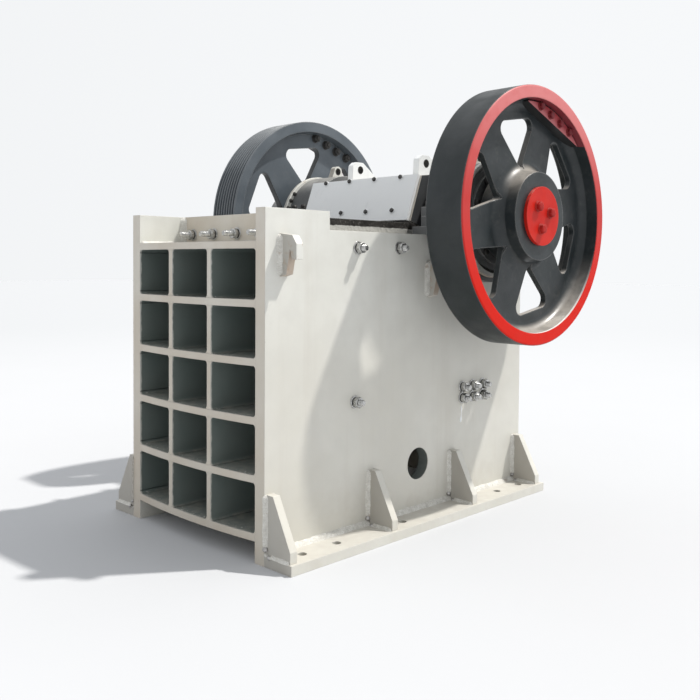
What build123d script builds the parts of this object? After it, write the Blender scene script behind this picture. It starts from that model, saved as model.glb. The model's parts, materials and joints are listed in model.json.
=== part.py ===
from build123d import *
import math
import os

os.makedirs("parts", exist_ok=True)

# Frame sizes
jaw_width = 900.0
cheek_thickness = 38.0
side_thickness = 67.0
side_height = 1556.0
front_step = 91.0
front_block_length = 409.0
rear_corner_drop = 226.0
rear_corner_run = 90.0
rear_reach = 515.0
overrun = 20.0

# Base flanges and gussets
flange_width = 187.0
flange_thickness = 48.0
anchor_hole_radius = 22.5
anchor_line_out = 96.0
anchor_outer_inset = 148.0
anchor_inner_inset = 373.0
anchor_middle_back = 857.0
gusset_thickness = 42.0
gusset_height = 332.0
gusset_top_width = 50.0
gusset_toe_out = 170.0
gusset_toe_height = 52.0
gusset_corner_cut = 22.0
gusset_end_inset = 8.0
gusset_second = 695.0
gusset_third = 1375.0
gusset_rear_inset = 72.0

# Front wall with its ribs, posts and the fixed jaw plate
wall_set_back = 285.0
wall_thickness = 70.0
wall_foot_height = 60.0
top_ledge = 152.0
rib_thickness = 35.0
rib_first_height = 102.0
rib_count = 6
rib_bulge = 30.0
post_thickness = 30.0
post_place_share = 1 / 3
post_set_in = 3.0
cell_corner = 18.0
fixed_jaw_body = 80.0
tooth_height = 45.0
tooth_count = 9
tooth_flat_share = 0.24
fixed_jaw_low = 110.0
fixed_jaw_top_drop = 22.0
jaw_side_gap = 1.0

# Cheek plates
cheek_front_gap = 2.0
cheek_top_rise = 64.0
cheek_low = 200.0
cheek_jaw_gap = 37.0
side_gap = 6.0

# Shaft line and wheels
shaft_rise = 104.0
eccentricity = 19.0
moving_clearance = 8.0
weight_angle = 70.0
journal_radius = 100.0
eccentric_step = 3.0
wheel_seat_step = 10.0
running_gap = 0.06
wheel_radius = 710.0
wheel_side_gap = 31.0
wheel_width = 226.6
rim_thickness = 68.0
rim_draft = 10.0
rim_edge = 6.0
flywheel_web_depth = 101.0
flywheel_web_thickness = 35.0
pulley_web_depth = 120.0
pulley_web_thickness = 45.0
web_bevel = 26.0
hub_radius = 242.0
hub_draft = 14.0
window_count = 6
window_hub_gap = 6.0
window_rim_gap = 96.0
window_shoulder_drop = 45.0
window_side_angle = 36.1
window_shoulder_run = 37.0
window_corner = 44.0
window_apex_corner = 12.0
pulley_window_turn = -2.5
groove_count = 8
groove_pitch = 25.5
groove_top = 20.0
groove_depth = 17.0
cap_radius = 161.0
cap_thickness = 19.0
weight_recess = 38.0
weight_depth = 71.0
weight_rim_gap = 3.0

# Bearings
housing_radius = 319.0
housing_out = 179.0
housing_in = 14.0
seat_gap = 2.0
seat_ring = 46.0
seat_out = 140.0
foot_half_length = 465.0
foot_thickness = 44.0
foot_out = 100.0
shoulder_half_length = 388.0
cap_flange_thickness = 52.0
cover_radius = 268.0
cover_thickness = 16.0
cover_gap = 4.0
eye_rise = 36.0
eye_out = 26.0
eye_radius = 35.0
eye_hole_radius = 22.0
eye_thickness = 40.0
eye_root_half = 70.0

# Pitman and swing jaw, in a view tilted with the jaw
jaw_tilt = 20.25
jaw_face_out = 413.0
jaw_plate_depth = 110.0
jaw_top_down = 160.0
jaw_foot_height = 171.0
discharge_gap = 106.0
guard_thickness = 20.0
guard_low = 154.0
guard_high = 126.0
guard_side_inset = 12.0
ledge_low = 150.0
head_radius = 290.0
head_top_angle = 110.0
pitman_toe = 20.0
pitman_plate = 90.0
pitman_rib_thickness = 48.0
pitman_rib_shares = (-1.0, -0.5, 0.0, 0.5, 1.0)
rib_head_down = 60.0
rib_head_out = 265.0
rib_mid_down = 700.0
rib_mid_out = 150.0
seat_top_up = 610.0
seat_low_up = 380.0
seat_face_out = 110.0
rib_low_up = 180.0
lug_side = 270.5
lug_thickness = 42.0
lug_hole_radius = 23.0
lug_hole_forward = 101.5
lug_hole_rise = 62.0
lug_crown_wall = 25.0
lug_crown_front = 37.0
lug_crown_rear = 25.0
lug_corner = 14.0
lug_shoulder_front = 67.0
lug_shoulder_drop = 24.0
lug_toe_front = 81.0
lug_tail_back = 173.0
lug_tail_drop = 54.0
lug_root_drop = 194.0
rod_lug_up = 185.0
rod_lug_out = 150.0
rod_lug_radius = 52.0
rod_lug_side = 58.0
rod_lug_thickness = 34.0
rod_pin_radius = 24.0

# Toggle, rear wall and tension rod
toggle_thickness = 60.0
toggle_half_width = 400.0
toggle_seat_out = 24.0
toggle_run = 396.0
toggle_rise = 128.0
toggle_seat_ease = 4.0
beam_front_lap = 6.0
beam_length = 290.0
beam_under = 55.0
beam_over = 80.0
rear_wall_thickness = 60.0
rear_wall_low = 420.0
rear_wall_top_inset = 30.0
rear_rib_count = 4
rear_rib_thickness = 35.0
rear_rib_depth = 64.0
rear_rib_inset = 6.0
rear_post_thickness = 30.0
bracket_rise = 85.0
rod_radius = 22.0
rod_tail = 72.0
rod_eye_radius = 46.0
rod_eye_thickness = 70.0
rod_washer_radius = 92.0
rod_washer_thickness = 16.0
rod_nut_radius = 38.0
rod_nut_length = 34.0
spring_coils = 6
spring_sides = 16
spring_length = 170.0
spring_inner_radius = 48.0
spring_root_radius = 62.0
spring_radius = 72.0

# Lifting hooks and the access hole
access_back = 1096.0
access_height = 299.0
access_radius = 87.0
hook_thickness = 42.0
hook_front_back = 88.0
hook_rear_back = 1160.0
hook_front_drop = 117.0
hook_rear_drop = 144.0
hook_shoulder_out = 85.0
hook_shoulder_drop = 10.0
hook_nose_out = 113.0
hook_nose_drop = 49.0
hook_tip_drop = 121.0
hook_tip_in = 84.0
hook_slot_in = 70.0
hook_slot_drop = 70.0
hook_heel_out = 44.0
hook_heel_drop = 189.0
hook_low_drop = 199.0

# Heights and widths worked out from the sizes above
frame_width = jaw_width + 2 * cheek_thickness + 2 * side_thickness
half_width = frame_width / 2
inner_half_width = half_width - side_thickness
inner_width = 2 * inner_half_width
front_height = side_height + front_step
rear_edge_height = side_height - rear_corner_drop
cheek_top = side_height + cheek_top_rise
fixed_jaw_high = front_height - fixed_jaw_top_drop
rib_pitch = (front_height - top_ledge - rib_thickness - rib_first_height) / (rib_count - 1)
post_bulge = rib_bulge * (1 - post_place_share**2) - post_set_in
pitman_half_width = jaw_width / 2 - side_gap
jaw_plate_body = jaw_plate_depth - tooth_height
open_pivot_gap = eccentricity + moving_clearance

# Shaft line, set by the discharge gap between the jaws
eccentric_angle = weight_angle + 180
window_first_angle = weight_angle + 180 / window_count
eccentric_run = eccentricity * math.cos(math.radians(eccentric_angle))
eccentric_lift = eccentricity * math.sin(math.radians(eccentric_angle))
tilt_sin = math.sin(math.radians(jaw_tilt))
tilt_cos = math.cos(math.radians(jaw_tilt))
shaft_height = side_height + shaft_rise
eccentric_z = shaft_height + eccentric_lift
jaw_low_down = (eccentric_z + jaw_face_out * tilt_sin - jaw_foot_height) / tilt_cos
jaw_reach = jaw_face_out * tilt_cos + jaw_low_down * tilt_sin
fixed_jaw_back = wall_set_back + wall_thickness + fixed_jaw_body + tooth_height
shaft_back = fixed_jaw_back + discharge_gap + jaw_reach - eccentric_run
frame_length = shaft_back + rear_reach
front_x = -frame_length / 2
rear_x = frame_length / 2
shaft_x = front_x + shaft_back
eccentric_x = shaft_x + eccentric_run
shaft_axis = Axis((shaft_x, 0, shaft_height), (0, 1, 0))

# Places along and across the machine
anchor_places = [
    front_x + anchor_outer_inset,
    front_x + anchor_inner_inset,
    front_x + anchor_middle_back,
    rear_x - anchor_inner_inset,
    rear_x - anchor_outer_inset,
]
gusset_places = [
    front_x + gusset_end_inset,
    front_x + gusset_second,
    front_x + gusset_third,
    rear_x - gusset_rear_inset,
]
hook_places = [
    (front_x + hook_front_back, front_height - hook_front_drop),
    (front_x + hook_rear_back, side_height - hook_rear_drop),
]
wall_x = front_x + wall_set_back
fixed_jaw_x = wall_x + wall_thickness
tooth_root_x = fixed_jaw_x + fixed_jaw_body
rear_wall_x = rear_x - rear_rib_inset - rear_rib_depth - rear_wall_thickness
rear_wall_back_x = rear_wall_x + rear_wall_thickness
rear_wall_high = rear_edge_height - rear_wall_top_inset
housing_inner_y = inner_half_width - housing_in
housing_outer_y = half_width + housing_out
wheel_inner_y = housing_outer_y + cover_thickness + wheel_side_gap
wheel_outer_y = wheel_inner_y + wheel_width

# Radii of the shaft and wheels
eccentric_radius = journal_radius + eccentricity + eccentric_step
wheel_seat_radius = journal_radius - wheel_seat_step
rim_inner_radius = wheel_radius - rim_thickness
rim_root_radius = rim_inner_radius - rim_draft
hub_root_radius = hub_radius + hub_draft
window_apex_radius = hub_root_radius + window_hub_gap
window_outer_radius = rim_root_radius - window_rim_gap
window_shoulder_radius = window_outer_radius - window_shoulder_drop
window_length = window_shoulder_radius - window_apex_radius
window_half_width = window_length * math.tan(math.radians(window_side_angle))
window_top_half_width = window_half_width - window_shoulder_run
weight_radius = rim_root_radius - weight_rim_gap
weight_chord = rim_root_radius - weight_depth
eye_height = housing_radius + eye_rise

# Depths and distances down the pitman in its tilted view
plate_front = jaw_plate_depth - jaw_face_out
plate_back = plate_front + pitman_plate
ledge_front = guard_thickness - jaw_face_out
pitman_low_down = jaw_low_down + pitman_toe
seat_top_down = pitman_low_down - seat_top_up
seat_low_down = pitman_low_down - seat_low_up
rib_low_down = pitman_low_down - rib_low_up
rod_lug_down = pitman_low_down - rod_lug_up
head_top = (
    head_radius * math.cos(math.radians(head_top_angle)),
    head_radius * math.sin(math.radians(head_top_angle)),
)
lug_hole_x = eccentric_x - lug_hole_forward
lug_hole_z = eccentric_z + head_radius + lug_hole_rise
lug_crown_rise = lug_hole_radius + lug_crown_wall


# Side view at one distance along the shaft, growing towards minus Y
def side_view(y):
    return Plane(origin=(0, y, 0), x_dir=(1, 0, 0), z_dir=(0, -1, 0))


# Side view centred on the shaft line, turned by an angle from plus X towards plus Z
def wheel_view(y, angle=0):
    across = (math.cos(math.radians(angle)), 0, math.sin(math.radians(angle)))
    return Plane(origin=(shaft_x, y, shaft_height), x_dir=across, z_dir=(0, -1, 0))


# Side view square to the swing jaw's face, centred on the eccentric
def jaw_view(y):
    return Plane(
        origin=(eccentric_x, y, eccentric_z), x_dir=(tilt_cos, 0, -tilt_sin), z_dir=(0, -1, 0)
    )


# Front view at one distance along the machine, growing towards plus X
def front_view(x):
    return Plane(origin=(x, 0, 0), x_dir=(0, 1, 0), z_dir=(1, 0, 0))


# Length along the machine of the moving jaw's crests at one height
def crest_x(height):
    down = (eccentric_z + jaw_face_out * tilt_sin - height) / tilt_cos
    return eccentric_x - jaw_face_out * tilt_cos - down * tilt_sin


# Corrugated outline across one jaw plate, with its teeth on the low side
def jaw_outline(half, body, crest_first):
    step = half / tooth_count
    flat = step * tooth_flat_share
    points = [(-half, body)]
    for i in range(2 * tooth_count + 1):
        middle = -half + step * i
        level = -tooth_height if (i % 2 == 0) == crest_first else 0
        points.append((max(middle - flat, -half), level))
        points.append((min(middle + flat, half), level))
    points.append((half, body))
    return points


# Side plates
with BuildPart() as side_plate_right:
    with BuildSketch(side_view(-inner_half_width)):
        Polygon(
            (front_x, 0),
            (rear_x, 0),
            (rear_x, rear_edge_height),
            (rear_x - rear_corner_run, side_height),
            (front_x + front_block_length, side_height),
            (front_x + front_block_length, front_height),
            (front_x, front_height),
            align=None,
        )
        with Locations((shaft_x, shaft_height)):
            Circle(housing_radius + seat_gap, mode=Mode.SUBTRACT)
        with Locations((front_x + access_back, access_height)):
            Circle(access_radius, mode=Mode.SUBTRACT)
    extrude(amount=side_thickness)
with BuildPart() as side_plate_left:
    mirror(side_plate_right.part, about=Plane.XZ)

# Base flanges with the anchor holes
with BuildPart() as base_flange_right:
    with BuildSketch(Plane.XY):
        with Locations((0, -half_width - flange_width / 2)):
            Rectangle(frame_length, flange_width)
        with Locations([(place, -half_width - anchor_line_out) for place in anchor_places]):
            Circle(anchor_hole_radius, mode=Mode.SUBTRACT)
    extrude(amount=flange_thickness)
with BuildPart() as base_flange_left:
    mirror(base_flange_right.part, about=Plane.XZ)

# Gussets between the flanges and the side plates
with BuildPart() as gussets_right:
    for place in gusset_places:
        with BuildSketch(front_view(place)):
            Polygon(
                (-half_width - gusset_corner_cut, flange_thickness),
                (-half_width - gusset_toe_out, flange_thickness),
                (-half_width - gusset_toe_out, flange_thickness + gusset_toe_height),
                (-half_width - gusset_top_width, gusset_height),
                (-half_width, gusset_height),
                (-half_width, flange_thickness + gusset_corner_cut),
                align=None,
            )
        extrude(amount=gusset_thickness)
with BuildPart() as gussets_left:
    mirror(gussets_right.part, about=Plane.XZ)

# Lifting hooks on the side plates
with BuildPart() as lifting_hooks_right:
    for place, top in hook_places:
        with BuildSketch(front_view(place)):
            Polygon(
                (-half_width, top),
                (-half_width - hook_shoulder_out, top - hook_shoulder_drop),
                (-half_width - hook_nose_out, top - hook_nose_drop),
                (-half_width - hook_nose_out, top - hook_tip_drop),
                (-half_width - hook_tip_in, top - hook_tip_drop),
                (-half_width - hook_slot_in, top - hook_slot_drop),
                (-half_width - hook_heel_out, top - hook_heel_drop),
                (-half_width, top - hook_low_drop),
                align=None,
            )
        extrude(amount=hook_thickness)
with BuildPart() as lifting_hooks_left:
    mirror(lifting_hooks_right.part, about=Plane.XZ)

# Front wall plate
with BuildPart() as front_wall:
    with BuildSketch(front_view(wall_x)):
        with Locations((0, (wall_foot_height + front_height) / 2)):
            Rectangle(inner_width, front_height - wall_foot_height)
    extrude(amount=wall_thickness)

# Rounded corners of the cells, each as its corner point and the way it fills
corner_bow = cell_corner * (1 - math.sqrt(0.5))
cell_heights = [
    (rib_first_height + rib_pitch * i + rib_thickness, rib_first_height + rib_pitch * (i + 1))
    for i in range(rib_count - 1)
]
post_places = [-post_place_share * inner_half_width, post_place_share * inner_half_width]
rib_corners = []
post_corners = []
for low, high in cell_heights:
    for side in (-1, 1):
        rib_corners.append((side * inner_half_width, low, -side, 1))
        rib_corners.append((side * inner_half_width, high, -side, -1))
        for middle in post_places:
            post_corners.append((middle + side * post_thickness / 2, low, side, 1))
            post_corners.append((middle + side * post_thickness / 2, high, side, -1))

# Level ribs in front of the wall, with bowed front edges and rounded roots
with BuildPart() as front_ribs:
    for i in range(rib_count):
        with BuildSketch(Plane.XY.offset(rib_first_height + rib_pitch * i)):
            with BuildLine():
                ThreePointArc(
                    (front_x, -inner_half_width), (front_x - rib_bulge, 0), (front_x, inner_half_width)
                )
                Line((front_x, inner_half_width), (wall_x, inner_half_width))
                Line((wall_x, inner_half_width), (wall_x, -inner_half_width))
                Line((wall_x, -inner_half_width), (front_x, -inner_half_width))
            make_face()
        extrude(amount=rib_thickness)
    with BuildSketch(front_view(front_x)):
        for y, z, out, up in rib_corners:
            with BuildLine():
                Line((y, z), (y + out * cell_corner, z))
                ThreePointArc(
                    (y + out * cell_corner, z),
                    (y + out * corner_bow, z + up * corner_bow),
                    (y, z + up * cell_corner),
                )
                Line((y, z + up * cell_corner), (y, z))
            make_face()
    extrude(amount=wall_set_back)

# Upright posts between the ribs
with BuildPart() as front_posts:
    with BuildSketch(front_view(front_x - post_bulge)):
        for low, high in cell_heights:
            with Locations([(middle, low) for middle in post_places]):
                Rectangle(post_thickness, high - low, align=(Align.CENTER, Align.MIN))
        for y, z, out, up in post_corners:
            with BuildLine():
                Line((y, z), (y + out * cell_corner, z))
                ThreePointArc(
                    (y + out * cell_corner, z),
                    (y + out * corner_bow, z + up * corner_bow),
                    (y, z + up * cell_corner),
                )
                Line((y, z + up * cell_corner), (y, z))
            make_face()
    extrude(amount=wall_set_back + post_bulge)

# Fixed jaw plate with upright teeth
with BuildPart() as fixed_jaw_plate:
    with BuildSketch(front_view(fixed_jaw_x)):
        with Locations((0, (fixed_jaw_low + fixed_jaw_high) / 2)):
            Rectangle(inner_width - 2 * jaw_side_gap, fixed_jaw_high - fixed_jaw_low)
    extrude(amount=fixed_jaw_body)
    with BuildSketch(
        Plane(origin=(tooth_root_x, 0, fixed_jaw_low), x_dir=(0, 1, 0), z_dir=(0, 0, 1))
    ):
        Polygon(*jaw_outline(jaw_width / 2 - jaw_side_gap, overrun, False), align=None)
    extrude(amount=fixed_jaw_high - fixed_jaw_low)

# Cheek plates along the crushing chamber
with BuildPart() as cheek_plate_right:
    with BuildSketch(side_view(-jaw_width / 2)):
        Polygon(
            (tooth_root_x + cheek_front_gap, cheek_low),
            (crest_x(cheek_low) - cheek_jaw_gap, cheek_low),
            (crest_x(cheek_top) - cheek_jaw_gap, cheek_top),
            (tooth_root_x + cheek_front_gap, cheek_top),
            align=None,
        )
    extrude(amount=cheek_thickness)
with BuildPart() as cheek_plate_left:
    mirror(cheek_plate_right.part, about=Plane.XZ)

# Half rings welded to the side plates under the bearings
with BuildPart() as bearing_seat_left:
    with BuildSketch(wheel_view(half_width + seat_out)):
        Circle(housing_radius + seat_gap + seat_ring)
        Circle(housing_radius + seat_gap, mode=Mode.SUBTRACT)
        with Locations((0, side_height - shaft_height)):
            Rectangle(
                4 * housing_radius, 4 * housing_radius, align=(Align.CENTER, Align.MIN), mode=Mode.SUBTRACT
            )
    extrude(amount=seat_out)
with BuildPart() as bearing_seat_right:
    mirror(bearing_seat_left.part, about=Plane.XZ)

# Lower halves of the bearing housings, on feet
with BuildPart() as bearing_base_left:
    with BuildSketch(wheel_view(housing_outer_y)):
        Circle(housing_radius)
        Rectangle(
            2 * housing_radius, 2 * housing_radius, align=(Align.CENTER, Align.MIN), mode=Mode.SUBTRACT
        )
    extrude(amount=housing_outer_y - housing_inner_y)
    with BuildSketch(wheel_view(half_width + foot_out)):
        with Locations((0, side_height - shaft_height)):
            Rectangle(2 * foot_half_length, foot_thickness, align=(Align.CENTER, Align.MIN))
            Rectangle(
                2 * shoulder_half_length, shaft_height - side_height, align=(Align.CENTER, Align.MIN)
            )
    extrude(amount=foot_out + side_thickness)
    with BuildSketch(wheel_view(housing_outer_y + overrun)):
        Circle(journal_radius + running_gap)
    extrude(amount=housing_outer_y - housing_inner_y + 2 * overrun, mode=Mode.SUBTRACT)
with BuildPart() as bearing_base_right:
    mirror(bearing_base_left.part, about=Plane.XZ)

# Upper halves of the bearing housings
with BuildPart() as bearing_cap_left:
    with BuildSketch(wheel_view(housing_outer_y)):
        Circle(housing_radius)
        Rectangle(
            2 * housing_radius, 2 * housing_radius, align=(Align.CENTER, Align.MAX), mode=Mode.SUBTRACT
        )
    extrude(amount=housing_outer_y - housing_inner_y)
    with BuildSketch(wheel_view(half_width + foot_out)):
        Rectangle(2 * shoulder_half_length, cap_flange_thickness, align=(Align.CENTER, Align.MIN))
    extrude(amount=foot_out + side_thickness)
    with BuildSketch(wheel_view(housing_outer_y + overrun)):
        Circle(journal_radius + running_gap)
    extrude(amount=housing_outer_y - housing_inner_y + 2 * overrun, mode=Mode.SUBTRACT)
with BuildPart() as bearing_cap_right:
    mirror(bearing_cap_left.part, about=Plane.XZ)

# Lifting eyes on the bearing housings
with BuildPart() as bearing_eyes:
    with BuildSketch(wheel_view(half_width + eye_out + eye_thickness / 2)):
        with Locations((0, eye_height)):
            Circle(eye_radius)
        Polygon(
            (-eye_root_half, housing_radius - eye_thickness),
            (eye_root_half, housing_radius - eye_thickness),
            (eye_radius, eye_height),
            (-eye_radius, eye_height),
            align=None,
        )
        Circle(housing_radius, mode=Mode.SUBTRACT)
        with Locations((0, eye_height)):
            Circle(eye_hole_radius, mode=Mode.SUBTRACT)
    extrude(amount=eye_thickness)
    mirror(about=Plane.XZ)

# Bearing end covers
with BuildPart() as bearing_cover_left:
    with BuildSketch(wheel_view(housing_outer_y + cover_thickness)):
        Circle(cover_radius)
        Circle(journal_radius + cover_gap, mode=Mode.SUBTRACT)
    extrude(amount=cover_thickness)
with BuildPart() as bearing_cover_right:
    mirror(bearing_cover_left.part, about=Plane.XZ)

# Eccentric shaft
with BuildPart() as eccentric_shaft:
    with BuildSketch(
        Plane(origin=(eccentric_x, pitman_half_width, eccentric_z), x_dir=(1, 0, 0), z_dir=(0, -1, 0))
    ):
        Circle(eccentric_radius)
    extrude(amount=2 * pitman_half_width)
    with BuildSketch(wheel_view(wheel_inner_y)):
        Circle(journal_radius)
    extrude(amount=2 * wheel_inner_y)
    with BuildSketch(wheel_view(wheel_outer_y)):
        Circle(wheel_seat_radius)
    extrude(amount=2 * wheel_outer_y)


# Inner side of a wheel from the hub over the web to the rim
def wheel_inner_side(web_inner_y):
    return [
        (wheel_seat_radius, wheel_inner_y),
        (hub_radius, wheel_inner_y),
        (hub_root_radius, web_inner_y),
        (rim_root_radius, web_inner_y),
        (rim_inner_radius, wheel_inner_y),
        (wheel_radius, wheel_inner_y),
    ]


# Outer side of a wheel from the rim over the web to the hub
def wheel_outer_side(web_outer_y):
    return [
        (wheel_radius, wheel_outer_y - rim_edge),
        (wheel_radius - rim_edge, wheel_outer_y),
        (rim_inner_radius, wheel_outer_y),
        (rim_root_radius, web_outer_y + web_bevel),
        (rim_root_radius - web_bevel, web_outer_y),
        (hub_root_radius + web_bevel, web_outer_y),
        (hub_root_radius, web_outer_y + web_bevel),
        (hub_radius, wheel_outer_y),
        (wheel_seat_radius, wheel_outer_y),
    ]


# Belt grooves across the pulley's rim
pulley_web_y = wheel_outer_y - pulley_web_depth
flywheel_web_y = wheel_outer_y - flywheel_web_depth
groove_points = []
for i in range(groove_count):
    groove_middle = (wheel_inner_y + wheel_outer_y) / 2 + (i - (groove_count - 1) / 2) * groove_pitch
    groove_points += [
        (wheel_radius, groove_middle - groove_top / 2),
        (wheel_radius - groove_depth, groove_middle),
        (wheel_radius, groove_middle + groove_top / 2),
    ]
wheel_plane = Plane(origin=(shaft_x, 0, shaft_height), x_dir=(1, 0, 0), z_dir=(0, 0, 1))
window_angles = [window_first_angle + 360 * i / window_count for i in range(window_count)]

# Window through the web, one between each two spokes
with BuildSketch() as window:
    Polygon(
        (window_apex_radius, 0),
        (window_shoulder_radius, -window_half_width),
        (window_outer_radius, -window_top_half_width),
        (window_outer_radius, window_top_half_width),
        (window_shoulder_radius, window_half_width),
        align=None,
    )
    fillet(window.vertices().sort_by(Axis.X)[1:], radius=window_corner)
    fillet(window.vertices().sort_by(Axis.X)[0], radius=window_apex_corner)

# Pulley with its belt grooves
with BuildPart() as pulley:
    with BuildSketch(wheel_plane):
        Polygon(
            *wheel_inner_side(pulley_web_y - pulley_web_thickness),
            *groove_points,
            *wheel_outer_side(pulley_web_y),
            align=None,
        )
    revolve(axis=shaft_axis)
    for angle in window_angles:
        with BuildSketch(wheel_view(wheel_outer_y, angle + pulley_window_turn)):
            add(window.sketch)
        extrude(amount=wheel_width, mode=Mode.SUBTRACT)

# Plain flywheel on the other side
flywheel_points = wheel_inner_side(flywheel_web_y - flywheel_web_thickness)
flywheel_points += wheel_outer_side(flywheel_web_y)
with BuildPart() as flywheel:
    with BuildSketch(wheel_plane):
        Polygon(*[(r, -y) for r, y in flywheel_points], align=None)
    revolve(axis=shaft_axis)
    for angle in window_angles:
        with BuildSketch(wheel_view(-wheel_inner_y, angle)):
            add(window.sketch)
        extrude(amount=wheel_width, mode=Mode.SUBTRACT)

# Counterweights inside the rims
weight_half_chord = math.sqrt(weight_radius**2 - weight_chord**2)
with BuildSketch() as weight:
    with BuildLine():
        Line((weight_chord, weight_half_chord), (weight_chord, -weight_half_chord))
        ThreePointArc(
            (weight_chord, -weight_half_chord), (weight_radius, 0), (weight_chord, weight_half_chord)
        )
    make_face()
with BuildPart() as pulley_counterweight:
    with BuildSketch(wheel_view(wheel_outer_y - weight_recess, weight_angle)):
        add(weight.sketch)
    extrude(amount=pulley_web_depth - weight_recess)
    add(pulley.part, mode=Mode.SUBTRACT)
with BuildPart() as flywheel_counterweight:
    with BuildSketch(wheel_view(-flywheel_web_y, weight_angle)):
        add(weight.sketch)
    extrude(amount=flywheel_web_depth - weight_recess)
    add(flywheel.part, mode=Mode.SUBTRACT)

# End caps on the shaft
with BuildPart() as pulley_end_cap:
    with BuildSketch(wheel_view(wheel_outer_y + cap_thickness)):
        Circle(cap_radius)
    extrude(amount=cap_thickness)
with BuildPart() as flywheel_end_cap:
    mirror(pulley_end_cap.part, about=Plane.XZ)

# Pitman casting: head, front plate, back ribs and toggle seat
seat_middle_down = (seat_top_down + seat_low_down) / 2
seat_point = jaw_view(0).from_local_coords((toggle_seat_out - seat_face_out, -seat_middle_down, 0))
with BuildPart() as pitman:
    with BuildSketch(jaw_view(pitman_half_width)):
        Circle(head_radius)
        Polygon(
            (ledge_front, -ledge_low),
            (ledge_front, guard_high),
            head_top,
            (0, 0),
            (plate_back, -ledge_low - pitman_plate),
            (plate_front, -ledge_low - pitman_plate),
            (plate_front, -ledge_low),
            align=None,
        )
        Polygon(
            (plate_front, -ledge_low),
            (plate_front, -pitman_low_down),
            (plate_back, -pitman_low_down),
            (plate_back, 0),
            align=None,
        )
        Polygon(
            (plate_back, -seat_top_down),
            (plate_back, -seat_low_down),
            (-seat_face_out, -seat_low_down),
            (-seat_face_out, -seat_top_down),
            align=None,
        )
    extrude(amount=2 * pitman_half_width)
    for share in pitman_rib_shares:
        middle = share * (pitman_half_width - pitman_rib_thickness / 2)
        with BuildSketch(jaw_view(middle + pitman_rib_thickness / 2)):
            Polygon(
                (plate_back, 0),
                (plate_back, -rib_low_down),
                (-seat_face_out, -seat_low_down),
                (-seat_face_out, -seat_top_down),
                (rib_mid_out, -rib_mid_down),
                (rib_head_out, -rib_head_down),
                (0, 0),
                align=None,
            )
        extrude(amount=pitman_rib_thickness)
    for side in (-1, 1):
        with BuildSketch(jaw_view(side * rod_lug_side + rod_lug_thickness / 2)):
            with Locations((-rod_lug_out, -rod_lug_down)):
                Circle(rod_lug_radius)
                Rectangle(
                    -rod_lug_out - plate_back, 2 * rod_lug_radius, align=(Align.MAX, Align.CENTER)
                )
        extrude(amount=rod_lug_thickness)
    with BuildSketch(
        Plane(
            origin=(seat_point.X, pitman_half_width + overrun, seat_point.Z),
            x_dir=(1, 0, 0),
            z_dir=(0, -1, 0),
        )
    ):
        Circle(toggle_thickness / 2 + open_pivot_gap)
    extrude(amount=2 * (pitman_half_width + overrun), mode=Mode.SUBTRACT)
    with BuildSketch(jaw_view(pitman_half_width + overrun)):
        Circle(eccentric_radius + running_gap)
        with Locations((-rod_lug_out, -rod_lug_down)):
            Circle(rod_pin_radius)
    extrude(amount=2 * (pitman_half_width + overrun), mode=Mode.SUBTRACT)

# Lifting lugs on the pitman head
with BuildPart() as pitman_lugs:
    for side in (-1, 1):
        with BuildSketch(
            Plane(
                origin=(lug_hole_x, side * lug_side + lug_thickness / 2, lug_hole_z),
                x_dir=(1, 0, 0),
                z_dir=(0, -1, 0),
            )
        ) as lug_face:
            Polygon(
                (-lug_toe_front, -lug_root_drop),
                (-lug_shoulder_front, lug_crown_rise - lug_shoulder_drop),
                (-lug_crown_front, lug_crown_rise),
                (lug_crown_rear, lug_crown_rise),
                (lug_tail_back, -lug_tail_drop),
                (lug_tail_back, -lug_root_drop),
                align=None,
            )
            fillet(lug_face.vertices().sort_by(Axis.Y)[-3:], radius=lug_corner)
            Circle(lug_hole_radius, mode=Mode.SUBTRACT)
        extrude(amount=lug_thickness)
    add(pitman.part, mode=Mode.SUBTRACT)

# Guard plate above the moving jaw plate
with BuildPart() as guard_plate:
    with BuildSketch(jaw_view(pitman_half_width - guard_side_inset)):
        Polygon(
            (-jaw_face_out, -guard_low),
            (ledge_front, -guard_low),
            (ledge_front, guard_high),
            (-jaw_face_out, guard_high),
            align=None,
        )
    extrude(amount=2 * (pitman_half_width - guard_side_inset))

# Moving jaw plate with its teeth facing the fixed ones
with BuildPart() as moving_jaw_plate:
    with BuildSketch(
        Plane(
            origin=jaw_view(0).from_local_coords((plate_front - jaw_plate_body, -jaw_low_down, 0)),
            x_dir=(0, -1, 0),
            z_dir=(tilt_sin, 0, tilt_cos),
        )
    ):
        Polygon(*jaw_outline(pitman_half_width, jaw_plate_body, True), align=None)
    extrude(amount=jaw_low_down - jaw_top_down)

# Toggle beam across the frame with its round seat
toggle_span = math.hypot(toggle_run, toggle_rise)
toggle_angle = math.degrees(math.atan2(toggle_rise, toggle_run))
toggle_front_x = seat_point.X - eccentric_run
toggle_front_z = seat_point.Z - eccentric_lift
toggle_rear_x = toggle_front_x + toggle_run
toggle_rear_z = toggle_front_z + toggle_rise
with BuildPart() as toggle_beam:
    with BuildSketch(side_view(inner_half_width)):
        with Locations((toggle_rear_x - beam_front_lap, toggle_rear_z - beam_under)):
            Rectangle(beam_length, beam_under + beam_over, align=Align.MIN)
        with Locations(
            (
                toggle_rear_x - toggle_seat_ease * toggle_run / toggle_span,
                toggle_rear_z - toggle_seat_ease * toggle_rise / toggle_span,
            )
        ):
            Circle(toggle_thickness / 2 + toggle_seat_ease, mode=Mode.SUBTRACT)
    extrude(amount=inner_width)

# Toggle plate with round ends
with BuildPart() as toggle_plate:
    with BuildSketch(side_view(toggle_half_width)):
        with Locations(((toggle_front_x + toggle_rear_x) / 2, (toggle_front_z + toggle_rear_z) / 2)):
            SlotCenterToCenter(toggle_span, toggle_thickness, rotation=toggle_angle)
    extrude(amount=2 * toggle_half_width)

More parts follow.
